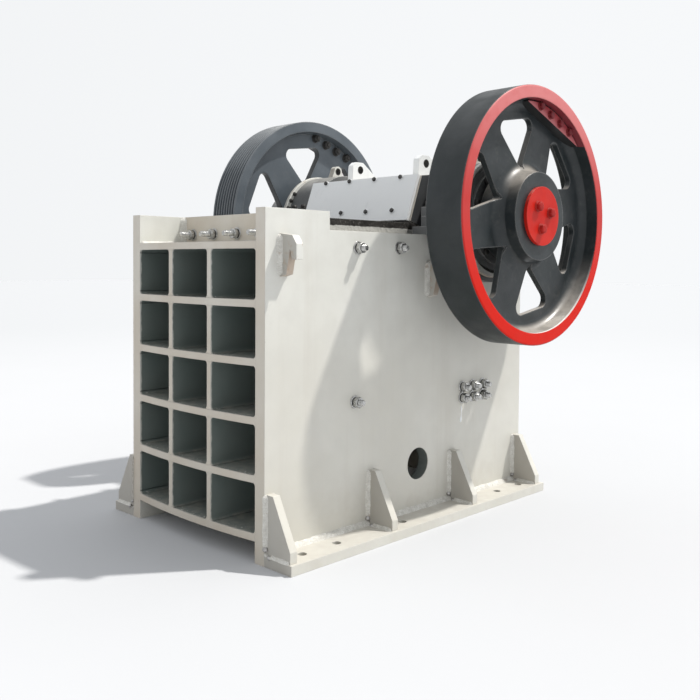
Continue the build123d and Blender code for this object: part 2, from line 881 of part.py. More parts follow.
# Rear wall with its ribs and posts
rear_rib_pitch = (rear_wall_high - rear_wall_low - rear_rib_thickness) / (rear_rib_count - 1)
with BuildPart() as rear_wall:
    with BuildSketch(front_view(rear_wall_x)):
        with Locations((0, (rear_wall_low + rear_wall_high) / 2)):
            Rectangle(inner_width, rear_wall_high - rear_wall_low)
    extrude(amount=rear_wall_thickness)
with BuildPart() as rear_ribs:
    for i in range(rear_rib_count):
        with BuildSketch(front_view(rear_wall_back_x)):
            with Locations((0, rear_wall_low + rear_rib_pitch * i)):
                Rectangle(inner_width, rear_rib_thickness, align=(Align.CENTER, Align.MIN))
        extrude(amount=rear_rib_depth)
with BuildPart() as rear_posts:
    with BuildSketch(front_view(rear_wall_back_x)):
        for i in range(rear_rib_count - 1):
            post_foot = rear_wall_low + rear_rib_pitch * i + rear_rib_thickness
            with Locations([(middle, post_foot) for middle in post_places]):
                Rectangle(
                    rear_post_thickness,
                    rear_rib_pitch - rear_rib_thickness,
                    align=(Align.CENTER, Align.MIN),
                )
    extrude(amount=rear_rib_depth)

# Tension rod through its bracket, pulled by a spring
rod_eye_point = jaw_view(0).from_local_coords((-rod_lug_out, -rod_lug_down, 0))
rod_z = rod_eye_point.Z
washer_x = rear_wall_back_x + spring_length
bracket_hole_z = rod_z - eccentric_lift
bracket_high = bracket_hole_z + bracket_rise
with BuildPart() as spring_bracket:
    with BuildSketch(front_view(rear_wall_x)):
        Rectangle(inner_width, bracket_high, align=(Align.CENTER, Align.MIN))
        with Locations((0, bracket_hole_z)):
            Circle(rod_radius + open_pivot_gap, mode=Mode.SUBTRACT)
    extrude(amount=rear_wall_thickness)
with BuildPart() as tension_rod:
    with BuildSketch(front_view(rod_eye_point.X)):
        with Locations((0, rod_z)):
            Circle(rod_radius)
    extrude(amount=washer_x + rod_tail - rod_eye_point.X)
    with BuildSketch(
        Plane(origin=(rod_eye_point.X, rod_eye_thickness / 2, rod_z), x_dir=(1, 0, 0), z_dir=(0, -1, 0))
    ):
        Circle(rod_eye_radius)
    extrude(amount=rod_eye_thickness)
    with BuildSketch(
        Plane(
            origin=(rod_eye_point.X, rod_lug_side + rod_lug_thickness, rod_z),
            x_dir=(1, 0, 0),
            z_dir=(0, -1, 0),
        )
    ):
        Circle(rod_pin_radius)
    extrude(amount=2 * (rod_lug_side + rod_lug_thickness))
    with BuildSketch(front_view(washer_x)):
        with Locations((0, rod_z)):
            Circle(rod_washer_radius)
    extrude(amount=rod_washer_thickness)
    with BuildSketch(front_view(washer_x + rod_washer_thickness)):
        with Locations((0, rod_z)):
            RegularPolygon(rod_nut_radius, 6)
    extrude(amount=rod_nut_length)

# Spring as a stack of coils, each drawn with flats
coil_step = spring_length / (2 * spring_coils - 1)
with BuildPart() as tension_spring:
    for i in range(2 * spring_coils - 1):
        with BuildSketch(front_view(rear_wall_back_x + coil_step * i)):
            with Locations((0, rod_z)):
                RegularPolygon((spring_radius, spring_root_radius)[i % 2], spring_sides)
                RegularPolygon(spring_inner_radius, spring_sides, mode=Mode.SUBTRACT)
        extrude(amount=coil_step)

# Labels and files
side_plate_right.part.label = "side_plate_right"
export_step(side_plate_right.part, "parts/side_plate_right.step")
side_plate_left.part.label = "side_plate_left"
export_step(side_plate_left.part, "parts/side_plate_left.step")
base_flange_right.part.label = "base_flange_right"
export_step(base_flange_right.part, "parts/base_flange_right.step")
base_flange_left.part.label = "base_flange_left"
export_step(base_flange_left.part, "parts/base_flange_left.step")
gussets_right.part.label = "gussets_right"
export_step(gussets_right.part, "parts/gussets_right.step")
gussets_left.part.label = "gussets_left"
export_step(gussets_left.part, "parts/gussets_left.step")
lifting_hooks_right.part.label = "lifting_hooks_right"
export_step(lifting_hooks_right.part, "parts/lifting_hooks_right.step")
lifting_hooks_left.part.label = "lifting_hooks_left"
export_step(lifting_hooks_left.part, "parts/lifting_hooks_left.step")
front_wall.part.label = "front_wall"
export_step(front_wall.part, "parts/front_wall.step")
front_ribs.part.label = "front_ribs"
export_step(front_ribs.part, "parts/front_ribs.step")
front_posts.part.label = "front_posts"
export_step(front_posts.part, "parts/front_posts.step")
fixed_jaw_plate.part.label = "fixed_jaw_plate"
export_step(fixed_jaw_plate.part, "parts/fixed_jaw_plate.step")
cheek_plate_right.part.label = "cheek_plate_right"
export_step(cheek_plate_right.part, "parts/cheek_plate_right.step")
cheek_plate_left.part.label = "cheek_plate_left"
export_step(cheek_plate_left.part, "parts/cheek_plate_left.step")
bearing_seat_right.part.label = "bearing_seat_right"
export_step(bearing_seat_right.part, "parts/bearing_seat_right.step")
bearing_seat_left.part.label = "bearing_seat_left"
export_step(bearing_seat_left.part, "parts/bearing_seat_left.step")
bearing_base_right.part.label = "bearing_base_right"
export_step(bearing_base_right.part, "parts/bearing_base_right.step")
bearing_base_left.part.label = "bearing_base_left"
export_step(bearing_base_left.part, "parts/bearing_base_left.step")
bearing_cap_right.part.label = "bearing_cap_right"
export_step(bearing_cap_right.part, "parts/bearing_cap_right.step")
bearing_cap_left.part.label = "bearing_cap_left"
export_step(bearing_cap_left.part, "parts/bearing_cap_left.step")
bearing_eyes.part.label = "bearing_eyes"
export_step(bearing_eyes.part, "parts/bearing_eyes.step")
bearing_cover_right.part.label = "bearing_cover_right"
export_step(bearing_cover_right.part, "parts/bearing_cover_right.step")
bearing_cover_left.part.label = "bearing_cover_left"
export_step(bearing_cover_left.part, "parts/bearing_cover_left.step")
eccentric_shaft.part.label = "eccentric_shaft"
export_step(eccentric_shaft.part, "parts/eccentric_shaft.step")
flywheel.part.label = "flywheel"
export_step(flywheel.part, "parts/flywheel.step")
pulley.part.label = "pulley"
export_step(pulley.part, "parts/pulley.step")
flywheel_counterweight.part.label = "flywheel_counterweight"
export_step(flywheel_counterweight.part, "parts/flywheel_counterweight.step")
pulley_counterweight.part.label = "pulley_counterweight"
export_step(pulley_counterweight.part, "parts/pulley_counterweight.step")
flywheel_end_cap.part.label = "flywheel_end_cap"
export_step(flywheel_end_cap.part, "parts/flywheel_end_cap.step")
pulley_end_cap.part.label = "pulley_end_cap"
export_step(pulley_end_cap.part, "parts/pulley_end_cap.step")
pitman.part.label = "pitman"
export_step(pitman.part, "parts/pitman.step")
pitman_lugs.part.label = "pitman_lugs"
export_step(pitman_lugs.part, "parts/pitman_lugs.step")
guard_plate.part.label = "guard_plate"
export_step(guard_plate.part, "parts/guard_plate.step")
moving_jaw_plate.part.label = "moving_jaw_plate"
export_step(moving_jaw_plate.part, "parts/moving_jaw_plate.step")
toggle_beam.part.label = "toggle_beam"
export_step(toggle_beam.part, "parts/toggle_beam.step")
toggle_plate.part.label = "toggle_plate"
export_step(toggle_plate.part, "parts/toggle_plate.step")
rear_wall.part.label = "rear_wall"
export_step(rear_wall.part, "parts/rear_wall.step")
rear_ribs.part.label = "rear_ribs"
export_step(rear_ribs.part, "parts/rear_ribs.step")
rear_posts.part.label = "rear_posts"
export_step(rear_posts.part, "parts/rear_posts.step")
spring_bracket.part.label = "spring_bracket"
export_step(spring_bracket.part, "parts/spring_bracket.step")
tension_rod.part.label = "tension_rod"
export_step(tension_rod.part, "parts/tension_rod.step")
tension_spring.part.label = "tension_spring"
export_step(tension_spring.part, "parts/tension_spring.step")
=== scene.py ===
import json
import math
import random

import bmesh
import bpy
from mathutils import Matrix, Vector


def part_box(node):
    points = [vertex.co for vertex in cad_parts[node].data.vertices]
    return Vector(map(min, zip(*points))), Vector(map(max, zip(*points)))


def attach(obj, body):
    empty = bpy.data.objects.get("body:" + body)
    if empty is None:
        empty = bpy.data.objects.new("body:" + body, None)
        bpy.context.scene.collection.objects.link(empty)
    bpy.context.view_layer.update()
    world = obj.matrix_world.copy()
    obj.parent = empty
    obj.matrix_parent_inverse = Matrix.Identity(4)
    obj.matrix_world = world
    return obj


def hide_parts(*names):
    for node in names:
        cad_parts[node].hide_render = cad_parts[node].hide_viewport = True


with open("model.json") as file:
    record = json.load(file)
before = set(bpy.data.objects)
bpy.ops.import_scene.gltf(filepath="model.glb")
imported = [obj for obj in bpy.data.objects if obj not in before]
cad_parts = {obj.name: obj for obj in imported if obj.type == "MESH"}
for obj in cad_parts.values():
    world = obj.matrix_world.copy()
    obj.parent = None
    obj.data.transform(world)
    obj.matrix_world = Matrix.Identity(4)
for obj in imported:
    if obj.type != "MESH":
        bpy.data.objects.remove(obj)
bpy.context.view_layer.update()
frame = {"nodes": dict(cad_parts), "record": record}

SEED = 7
rng = random.Random(SEED)


# Direction at an angle in the plane of the wheels
def spoke(angle):
    return Vector((math.cos(angle), 0, math.sin(angle)))


# Places read from the frame, in metres
side_low, side_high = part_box("side_plate_right")
gusset_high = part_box("gussets_right")[1]
rib_low, rib_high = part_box("front_ribs")
fly_low, fly_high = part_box("flywheel")
guard_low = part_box("guard_plate")[0]
cover_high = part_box("bearing_cover_left")[1]
spring_low, spring_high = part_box("tension_spring")
pitman_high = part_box("pitman")[1]
cheek_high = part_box("cheek_plate_right")[1]
joints = {joint["name"]: joint for joint in frame["record"]["behaviour"]["joints"]}
SHAFT = Vector(joints["shaft_spin"]["pos_m"])
FRONT_X, REAR_X = side_low.x, side_high.x
OUTER_Y, INNER_Y = -side_low.y, -side_high.y
FRAME_TOP = side_high.z
WALL_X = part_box("front_wall")[0].x
RIB_FRONT_X, RIB_FOOT, RIB_TOP = rib_low.x, rib_low.z, rib_high.z
FLANGE_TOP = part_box("base_flange_right")[1].z
WHEEL_RADIUS = (fly_high.x - fly_low.x) / 2
WHEEL_FACE, WHEEL_INNER = -fly_low.y, -fly_high.y
CAP_FACE = -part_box("flywheel_end_cap")[0].y
WEIGHT_FACE = -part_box("flywheel_counterweight")[0].y

# Sizes of the solids that their boxes don't give
CHEEK_RISE = 0.064
HOLE_BACK, HOLE_HEIGHT, HOLE_RADIUS = 1.096, 0.299, 0.088
RIM_THICKNESS, RIM_DRAFT = 0.068, 0.010
RIM_INNER = WHEEL_RADIUS - RIM_THICKNESS
HUB_RADIUS, HUB_DRAFT = 0.242, 0.014
WEB_DEPTHS = {"flywheel": 0.101, "pulley": 0.120}
WEB_THICKNESSES = {"flywheel": 0.035, "pulley": 0.045}
WINDOW_TURNS = {"flywheel": 0.0, "pulley": math.radians(-2.5)}
WINDOW_COUNT = 6
WINDOW_APEX, WINDOW_TIP = 0.262, 0.269
WINDOW_SIDE_ANGLE = math.radians(36.1)
WEIGHT_ANGLE = math.radians(70)
WEIGHT_CHORD = 0.561
JAW_TILT = math.radians(20.25)
to_weight = spoke(WEIGHT_ANGLE)
across_weight = spoke(WEIGHT_ANGLE + math.pi / 2)
MINUS_X, PLUS_X = Vector((-1, 0, 0)), Vector((1, 0, 0))
MINUS_Y, PLUS_Y = Vector((0, -1, 0)), Vector((0, 1, 0))
PLUS_Z = Vector((0, 0, 1))

# Tolerances of the masks that tell one face of a solid from another
FINE_SKIN, SKIN, WIDE_SKIN = 0.001, 0.002, 0.003

# Settings of the node helpers
WHOLE = (0.0, 1.0)
NOISE_MIDDLE = 0.5
CLOUD_LIMITS = (0.35, 0.65)
GLOSS_LIMITS = (0.3, 0.7)
EDGE_LIMITS = (0.99, 0.80)
BEVEL_SAMPLES = 4
MIX_FACTOR, MIX_FIRST, MIX_SECOND, MIX_RESULT = 0, 6, 7, 2


# Node helpers for one procedural material
class Finish:
    def __init__(self, name, bevel=None):
        self.material = bpy.data.materials.new(name)
        self.material.use_nodes = True
        self.tree = self.material.node_tree
        self.shader = self.tree.nodes["Principled BSDF"]
        coordinates = self.add("ShaderNodeTexCoord", {})
        self.place = coordinates.outputs["Object"]
        self.x, self.y, self.z = self.split(self.place)
        self.normal_x, self.normal_y, self.normal_z = self.split(coordinates.outputs["Normal"])
        self.rounded = None
        if bevel is not None:
            node = self.add("ShaderNodeBevel", {"Radius": bevel}, samples=BEVEL_SAMPLES)
            self.rounded = node.outputs["Normal"]

    # New node with its settings, and a link or a plain value for each named or numbered input
    def add(self, kind, values, **settings):
        node = self.tree.nodes.new(kind)
        for name, value in settings.items():
            setattr(node, name, value)
        self.fill(node, values)
        return node

    def fill(self, node, values):
        for key, value in values.items():
            if isinstance(value, bpy.types.NodeSocket):
                self.tree.links.new(value, node.inputs[key])
            else:
                node.inputs[key].default_value = value

    def split(self, vector):
        return self.add("ShaderNodeSeparateXYZ", {0: vector}).outputs

    def noise(self, scale, detail=4.0, rough=0.5, vector=None):
        values = {"Vector": vector or self.place, "Scale": scale, "Detail": detail, "Roughness": rough}
        return self.add("ShaderNodeTexNoise", values).outputs["Fac"]

    def specks(self, scale):
        return self.add("ShaderNodeTexVoronoi", {"Vector": self.place, "Scale": scale}).outputs["Distance"]

    def math(self, operation, first, second=0.0):
        return self.add("ShaderNodeMath", {0: first, 1: second}, operation=operation).outputs[0]

    def plus(self, first, second):
        return self.math("ADD", first, second)

    def minus(self, first, second):
        return self.math("SUBTRACT", first, second)

    def times(self, first, second):
        return self.math("MULTIPLY", first, second)

    def more(self, value, limit):
        return self.math("GREATER_THAN", value, limit)

    def less(self, value, limit):
        return self.math("LESS_THAN", value, limit)

    def size(self, value):
        return self.math("ABSOLUTE", value)

    # Straight distance from two legs
    def distance(self, first, second):
        return self.math("SQRT", self.plus(self.times(first, first), self.times(second, second)))

    # One height with a share of another laid on it
    def stack(self, first, second, amount):
        return self.plus(first, self.times(second, amount))

    def both(self, *masks):
        result = masks[0]
        for mask in masks[1:]:
            result = self.times(result, mask)
        return result

    # Smooth step between two limits
    def band(self, value, limits, ends=WHOLE):
        values = {"Value": value, "From Min": limits[0], "From Max": limits[1]}
        values.update({"To Min": ends[0], "To Max": ends[1]})
        return self.add("ShaderNodeMapRange", values, interpolation_type="SMOOTHSTEP").outputs["Result"]

    # Noise cut off between two limits
    def cloud(self, scale, detail=4.0, rough=0.5, limits=CLOUD_LIMITS, ends=WHOLE, vector=None):
        return self.band(self.noise(scale, detail, rough, vector), limits, ends)

    # Noise drawn out along one axis
    def streaks(self, factors, limits, ends=WHOLE):
        node = self.add("ShaderNodeVectorMath", {0: self.place, 1: factors}, operation="MULTIPLY")
        return self.cloud(scale=1.0, rough=0.6, limits=limits, ends=ends, vector=node.outputs[0])

    # Dust that settles on faces turned up
    def dust(self, upward, scale, limits=GLOSS_LIMITS, ends=WHOLE):
        return self.both(self.band(self.normal_z, upward), self.cloud(scale, limits=limits, ends=ends))

    def gloss(self, scale, ends, detail=3.0):
        return self.cloud(scale, detail, limits=GLOSS_LIMITS, ends=ends)

    def mix(self, factor, first, second):
        values = {MIX_FACTOR: factor}
        for index, tone in ((MIX_FIRST, first), (MIX_SECOND, second)):
            values[index] = tone if isinstance(tone, bpy.types.NodeSocket) else (*tone, 1)
        return self.add("ShaderNodeMix", values, data_type="RGBA").outputs[MIX_RESULT]

    # A tone laid over a colour where a mask lets it
    def over(self, colour, tone, mask, amount=None):
        return self.mix(mask if amount is None else self.times(mask, amount), colour, tone)

    # Mask of the edges, where the rounded normal turns away from the true one
    def edges(self):
        true = self.add("ShaderNodeNewGeometry", {}).outputs["Normal"]
        node = self.add("ShaderNodeVectorMath", {0: self.rounded, 1: true}, operation="DOT_PRODUCT")
        return self.band(node.outputs["Value"], EDGE_LIMITS)

    def bump(self, height, strength, distance):
        values = {"Height": height, "Strength": strength, "Distance": distance}
        if self.rounded is not None:
            values["Normal"] = self.rounded
        return self.add("ShaderNodeBump", values).outputs["Normal"]

    def shaded(self, colour, roughness, normal, metallic=0.0, specular=0.5):
        values = {"Base Color": colour, "Roughness": roughness, "Normal": normal, "Metallic": metallic}
        self.fill(self.shader, values | {"Specular IOR Level": specular})
        return self.material


# Cream paint in two tones by height, with mottle, streaks and grime low down
CREAM_LOW_TONES = ((0.575, 0.56, 0.505), (0.635, 0.625, 0.575))
CREAM_HIGH_TONES = ((0.655, 0.655, 0.61), (0.70, 0.70, 0.66))
CREAM_HEIGHTS = (0.5, 1.6)
MOTTLE_TONE = (0.56, 0.55, 0.51)
STREAK_TONE = (0.47, 0.43, 0.37)
STREAK_STRETCH = (11.0, 11.0, 0.55)
GRIME_TONE = (0.45, 0.41, 0.35)
GRIME_HEIGHTS = (0.45, 0.02)


def cream(coat):
    low = coat.mix(coat.cloud(scale=1.4, detail=5.0, rough=0.55), *CREAM_LOW_TONES)
    high = coat.mix(coat.cloud(scale=1.7, detail=5.0, rough=0.55), *CREAM_HIGH_TONES)
    colour = coat.mix(coat.band(coat.z, CREAM_HEIGHTS), low, high)
    mottle = coat.cloud(scale=9.0, limits=(0.35, 0.7), ends=(0.0, 0.3))
    colour = coat.over(colour, MOTTLE_TONE, mottle)
    colour = coat.over(colour, STREAK_TONE, coat.streaks(STREAK_STRETCH, limits=(0.52, 0.75)), amount=0.16)
    patches = coat.cloud(scale=6.0, detail=5.0, rough=0.65, limits=(0.42, 0.72))
    grime = coat.both(coat.band(coat.z, GRIME_HEIGHTS), patches)
    return coat.over(colour, GRIME_TONE, grime, amount=0.3)


# Dust and painted shade on front faces, painted shade on the fronts of gussets and hooks, rust and painted
# shade on the hooks, dust on upward faces
AHEAD = (-0.6, -0.95)
UPWARD = (0.5, 0.9)
UNDERSIDE = (-0.08, -0.18)
FRONT_DUST_AND_SHADE_TONE = (0.455, 0.375, 0.285)
FRONT_SHADE_TONE = (0.30, 0.305, 0.295)
HOOK_LEVELS = (1.20, 1.25)
HOOK_RUST_TONE = (0.34, 0.225, 0.135)
SLOT_RUST_AND_SHADE_TONE = (0.31, 0.20, 0.12)
TOP_DUST_TONE = (0.52, 0.495, 0.45)


def dust_and_shade(coat, colour):
    ahead = coat.band(coat.normal_x, AHEAD)
    outside = coat.more(coat.size(coat.y), OUTER_Y + FINE_SKIN)
    drift = coat.cloud(scale=3.0, limits=(0.3, 0.7), ends=(0.35, 0.62))
    # Front faces browner: dust with painted shade
    colour = coat.over(colour, FRONT_DUST_AND_SHADE_TONE, coat.both(ahead, drift))
    # Painted shade on the front faces of the gussets and hooks outside the side plates
    colour = coat.over(colour, FRONT_SHADE_TONE, coat.both(ahead, outside), amount=0.55)
    hooks = coat.both(outside, coat.band(coat.z, HOOK_LEVELS))
    spots = coat.cloud(scale=21.0, detail=5.0, rough=0.7, limits=(0.53, 0.66))
    colour = coat.over(colour, HOOK_RUST_TONE, coat.both(hooks, spots), amount=0.45)
    # Undersides in the hook slots darkened: rust with painted shade
    slots = coat.both(hooks, coat.band(coat.normal_z, UNDERSIDE))
    colour = coat.over(colour, SLOT_RUST_AND_SHADE_TONE, slots, amount=0.65)
    return coat.over(colour, TOP_DUST_TONE, coat.dust(UPWARD, scale=18.0, ends=(0.25, 0.75)))


# Worn edges, pale with brown chips; the pale edges are wear and painted highlight
EDGE_WEAR_AND_HIGHLIGHT_TONE = (0.76, 0.75, 0.71)
CHIP_TONE = (0.17, 0.12, 0.085)


def edge_wear_and_highlight(coat, colour):
    edge = coat.edges()
    colour = coat.over(colour, EDGE_WEAR_AND_HIGHLIGHT_TONE, edge, amount=0.4)
    chips = coat.both(edge, coat.cloud(scale=42.0, detail=5.0, rough=0.7, limits=(0.61, 0.67)))
    return coat.over(colour, CHIP_TONE, chips, amount=0.8)


# Painted shade on the wall of the access hole
HOLE_SHADE_TONE = (0.155, 0.172, 0.162)
HOLE_FADE = (HOLE_RADIUS + 0.006, HOLE_RADIUS + SKIN)


def shaded_hole_wall(coat, colour):
    along = coat.minus(coat.x, FRONT_X + HOLE_BACK)
    above = coat.minus(coat.z, HOLE_HEIGHT)
    hole_wall = coat.both(
        coat.band(coat.distance(along, above), HOLE_FADE),
        coat.less(coat.size(coat.y), OUTER_Y - WIDE_SKIN),
    )
    return coat.over(colour, HOLE_SHADE_TONE, hole_wall)


# Cells behind the bowed front ribs drawn dark as painted shade, with dust and grains on their floors
CELL_SHADE_TONES = ((0.135, 0.172, 0.163), (0.180, 0.200, 0.186))
CELL_DUST_TONE = (0.34, 0.325, 0.29)
CELL_GRAIN_TONE = (0.66, 0.65, 0.62)
CELL_UPWARD = (0.4, 0.9)
CELL_START = (0.004, 0.013)
CELL_WOBBLE = 0.012
CELL_GRAIN_DEPTHS = (0.07, 0.02)


def front_cells(coat, colour):
    share = coat.size(coat.math("DIVIDE", coat.y, INNER_Y))
    bow = coat.times(coat.math("POWER", share, 2.0), FRONT_X - RIB_FRONT_X)
    depth = coat.minus(coat.minus(coat.x, RIB_FRONT_X), bow)
    wobble = coat.times(coat.minus(coat.noise(scale=30.0, detail=3.0), NOISE_MIDDLE), CELL_WOBBLE)
    cell = coat.both(
        coat.band(coat.plus(depth, wobble), CELL_START),
        coat.less(coat.size(coat.y), INNER_Y + FINE_SKIN),
        coat.less(coat.x, WALL_X + SKIN),
        coat.less(coat.z, RIB_TOP - WIDE_SKIN),
        coat.more(coat.z, RIB_FOOT + SKIN),
    )
    # Painted shade: dark slate tone of the cell walls
    tone = coat.mix(coat.noise(scale=5.0), *CELL_SHADE_TONES)
    dust = coat.dust(CELL_UPWARD, scale=24.0, limits=(0.35, 0.7), ends=(0.2, 0.7))
    tone = coat.over(tone, CELL_DUST_TONE, dust)
    near = coat.both(coat.band(coat.normal_z, CELL_UPWARD), coat.band(depth, CELL_GRAIN_DEPTHS))
    grains = coat.both(near, coat.cloud(scale=75.0, detail=3.0, rough=0.7, limits=(0.58, 0.66)))
    return coat.mix(cell, colour, coat.over(tone, CELL_GRAIN_TONE, grains))


# Painted shade: the ends of the pitman drawn near black
END_SHADE_TONES = ((0.024, 0.028, 0.032), (0.060, 0.062, 0.064))
SIDEWAYS = 0.8


def shaded_ends(coat, colour):
    end = coat.both(
        coat.more(coat.size(coat.normal_y), SIDEWAYS),
        coat.more(coat.size(coat.y), pitman_high.y - SKIN),
    )
    return coat.mix(end, colour, coat.mix(coat.noise(scale=13.0), *END_SHADE_TONES))


# Paint of the welded frame, with cells in painted shade, or of the pitman, with its ends in painted shade
def body_paint(name, with_cells=False, with_ends=False):
    coat = Finish(name, bevel=0.005)
    colour = edge_wear_and_highlight(coat, dust_and_shade(coat, cream(coat)))
    if with_cells:
        colour = front_cells(coat, shaded_hole_wall(coat, colour))
    if with_ends:
        colour = shaded_ends(coat, colour)
    peel = coat.stack(coat.noise(scale=210.0, detail=2.0), coat.noise(scale=5.0, detail=2.0), amount=3.0)
    normal = coat.bump(peel, strength=0.10, distance=0.003)
    return coat.shaded(colour, coat.gloss(scale=7.0, detail=4.0, ends=(0.40, 0.58)), normal)


# Cream paint over weld beads, glossy on their ripples and dull between
WELD_TONES = ((0.64, 0.63, 0.59), (0.78, 0.775, 0.74))
WELD_PIT_TONE = (0.40, 0.38, 0.33)
WELD_RUST_TONE = (0.30, 0.20, 0.125)


def weld_paint():
    coat = Finish("weld_paint")
    pits = coat.band(coat.specks(scale=150.0), limits=(0.05, 0.55))
    colour = coat.mix(coat.cloud(scale=34.0, rough=0.6), *WELD_TONES)
    colour = coat.over(colour, WELD_PIT_TONE, coat.band(pits, limits=(0.55, 1.0), ends=(0.0, 0.35)))
    rust = coat.cloud(scale=14.0, detail=5.0, rough=0.7, limits=(0.60, 0.70), ends=(0.0, 0.5))
    colour = coat.over(colour, WELD_RUST_TONE, rust)
    lumps = coat.stack(pits, coat.noise(scale=70.0, rough=0.6), amount=1.4)
    normal = coat.bump(lumps, strength=0.6, distance=0.004)
    return coat.shaded(colour, coat.gloss(scale=40.0, ends=(0.25, 0.45)), normal)


# Cool grey paint of the guard plate
GUARD_TONES = ((0.79, 0.81, 0.82), (0.83, 0.845, 0.85))
GUARD_EDGE_TONE = (0.86, 0.86, 0.84)
GUARD_STREAK_TONE = (0.55, 0.56, 0.56)
GUARD_STRETCH = (30.0, 30.0, 1.5)


def guard_paint():
    coat = Finish("guard_paint", bevel=0.004)
    colour = coat.mix(coat.noise(scale=3.0), *GUARD_TONES)
    colour = coat.over(colour, GUARD_EDGE_TONE, coat.edges())
    streaks = coat.streaks(GUARD_STRETCH, limits=(0.55, 0.8), ends=(0.0, 0.2))
    colour = coat.over(colour, GUARD_STREAK_TONE, streaks)
    normal = coat.bump(coat.noise(scale=240.0, detail=2.0), strength=0.07, distance=0.002)
    return coat.shaded(colour, coat.gloss(scale=8.0, ends=(0.38, 0.52)), normal)


# Grey paint of the bearing housings, darkened as painted shade, and bright along the edges as painted
# highlight
HOUSING_SHADED_TONES = ((0.105, 0.110, 0.112), (0.158, 0.160, 0.160))
HOUSING_DUST_TONE = (0.42, 0.41, 0.385)
HOUSING_HIGHLIGHT_TONE = (0.66, 0.66, 0.64)
HOUSING_UPWARD = (0.6, 1.0)


def housing_paint():
    coat = Finish("housing_paint", bevel=0.006)
    colour = coat.mix(coat.cloud(scale=5.0, detail=5.0, rough=0.6, limits=(0.35, 0.68)), *HOUSING_SHADED_TONES)
    dust = coat.dust(HOUSING_UPWARD, scale=16.0, ends=(0.3, 0.8))
    colour = coat.over(colour, HOUSING_DUST_TONE, dust)
    # Painted highlight along the edges
    colour = coat.over(colour, HOUSING_HIGHLIGHT_TONE, coat.edges(), amount=0.6)
    grain = coat.noise(scale=150.0, rough=0.6)
    normal = coat.bump(grain, strength=0.10, distance=0.003)
    return coat.shaded(colour, coat.gloss(scale=9.0, detail=4.0, ends=(0.40, 0.58)), normal)


# Dust with painted sheen and oil film in the dish of a wheel, and painted shade on its window walls
DISH_DUST_AND_SHEEN_TONE = (0.47, 0.43, 0.385)
DISH_FILM_TONE = (0.20, 0.19, 0.17)
WINDOW_WALL_SHADE_TONE = (0.016, 0.018, 0.020)
WINDOW_WALL_FACING = (0.35, 0.15)
WINDOW_WALL_START = WINDOW_APEX + 0.012
WINDOW_WALL_END = RIM_INNER - RIM_DRAFT - 0.03


def wheel_dish(coat, colour, radius, inside, upward, wall_shade):
    dust_and_sheen = coat.cloud(scale=14.0, detail=5.0, rough=0.6, limits=(0.25, 0.62), ends=(0.60, 1.0))
    colour = coat.over(colour, DISH_DUST_AND_SHEEN_TONE, coat.both(inside, upward, dust_and_sheen), amount=0.85)
    film = coat.cloud(scale=26.0, detail=5.0, rough=0.7, limits=(0.50, 0.75), ends=(0.0, 0.10))
    colour = coat.over(colour, DISH_FILM_TONE, coat.both(inside, film))
    # Painted shade on the window walls, as strong as wall_shade
    window_wall = coat.both(
        coat.band(coat.size(coat.normal_y), WINDOW_WALL_FACING),
        coat.more(radius, WINDOW_WALL_START),
        coat.less(radius, WINDOW_WALL_END),
    )
    return coat.over(colour, WINDOW_WALL_SHADE_TONE, window_wall, amount=wall_shade)


# Red on the rim of a wheel, with a painted highlight on its lip
RIM_RED_TONE = (0.20, 0.032, 0.040)
RIM_RED_START = 0.004
RING_LOW_TONE = (0.60, 0.010, 0.002)
RING_MIDDLE_TONE = (0.50, 0.048, 0.045)
RING_TOP_SHEEN_TONE = (0.63, 0.205, 0.205)
RING_SCUFF_TONE = (0.46, 0.02, 0.015)
RING_LOW_RISES, RING_SHEEN_RISES = (-0.45, 0.10), (0.05, 0.70)
LIP_HIGHLIGHT_TONE = (0.86, 0.83, 0.81)
LIP_DEPTH, LIP_HALF = 0.011, 0.003


# Distance from the shaft towards the counterweight
def along_weight(coat):
    run = coat.times(coat.minus(coat.x, SHAFT.x), to_weight.x)
    rise = coat.times(coat.minus(coat.z, SHAFT.z), to_weight.z)
    return coat.plus(run, rise)


# Rim above the counterweight
def red_rim(coat, colour, radius, out):
    over_weight = coat.both(
        coat.more(along_weight(coat), WEIGHT_CHORD + RIM_RED_START),
        coat.more(out, WEIGHT_FACE - SKIN),
        coat.less(radius, RIM_INNER + SKIN),
    )
    return coat.over(colour, RIM_RED_TONE, over_weight)


# Ring on the face of the rim, paler towards its top as a painted sheen of light, partly fade of the paint
def red_ring(coat, colour, rise, ring):
    red = coat.mix(coat.band(rise, RING_LOW_RISES), RING_LOW_TONE, RING_MIDDLE_TONE)
    red = coat.over(red, RING_TOP_SHEEN_TONE, coat.band(rise, RING_SHEEN_RISES))
    scuffs = coat.cloud(scale=11.0, limits=(0.45, 0.75), ends=(0.0, 0.2))
    return coat.mix(ring, colour, coat.over(red, RING_SCUFF_TONE, scuffs))


# Painted highlight on the upward faces of the edge between the ring and the dish
def painted_lip_highlight(coat, colour, radius, out, upward):
    lip = coat.both(
        upward,
        coat.more(out, WHEEL_FACE - LIP_DEPTH),
        coat.more(radius, RIM_INNER - LIP_HALF),
        coat.less(radius, RIM_INNER + LIP_HALF),
    )
    return coat.over(colour, LIP_HIGHLIGHT_TONE, lip, amount=0.9)


# Painted shade in the grooves of the tread
GROOVE_SHADE_TONE = (0.014, 0.016, 0.018)
GROOVE_FADE = (WHEEL_RADIUS - 0.002, WHEEL_RADIUS - 0.009)
GROOVE_FLOOR = WHEEL_RADIUS - 0.030
GROOVE_MARGIN = 0.006


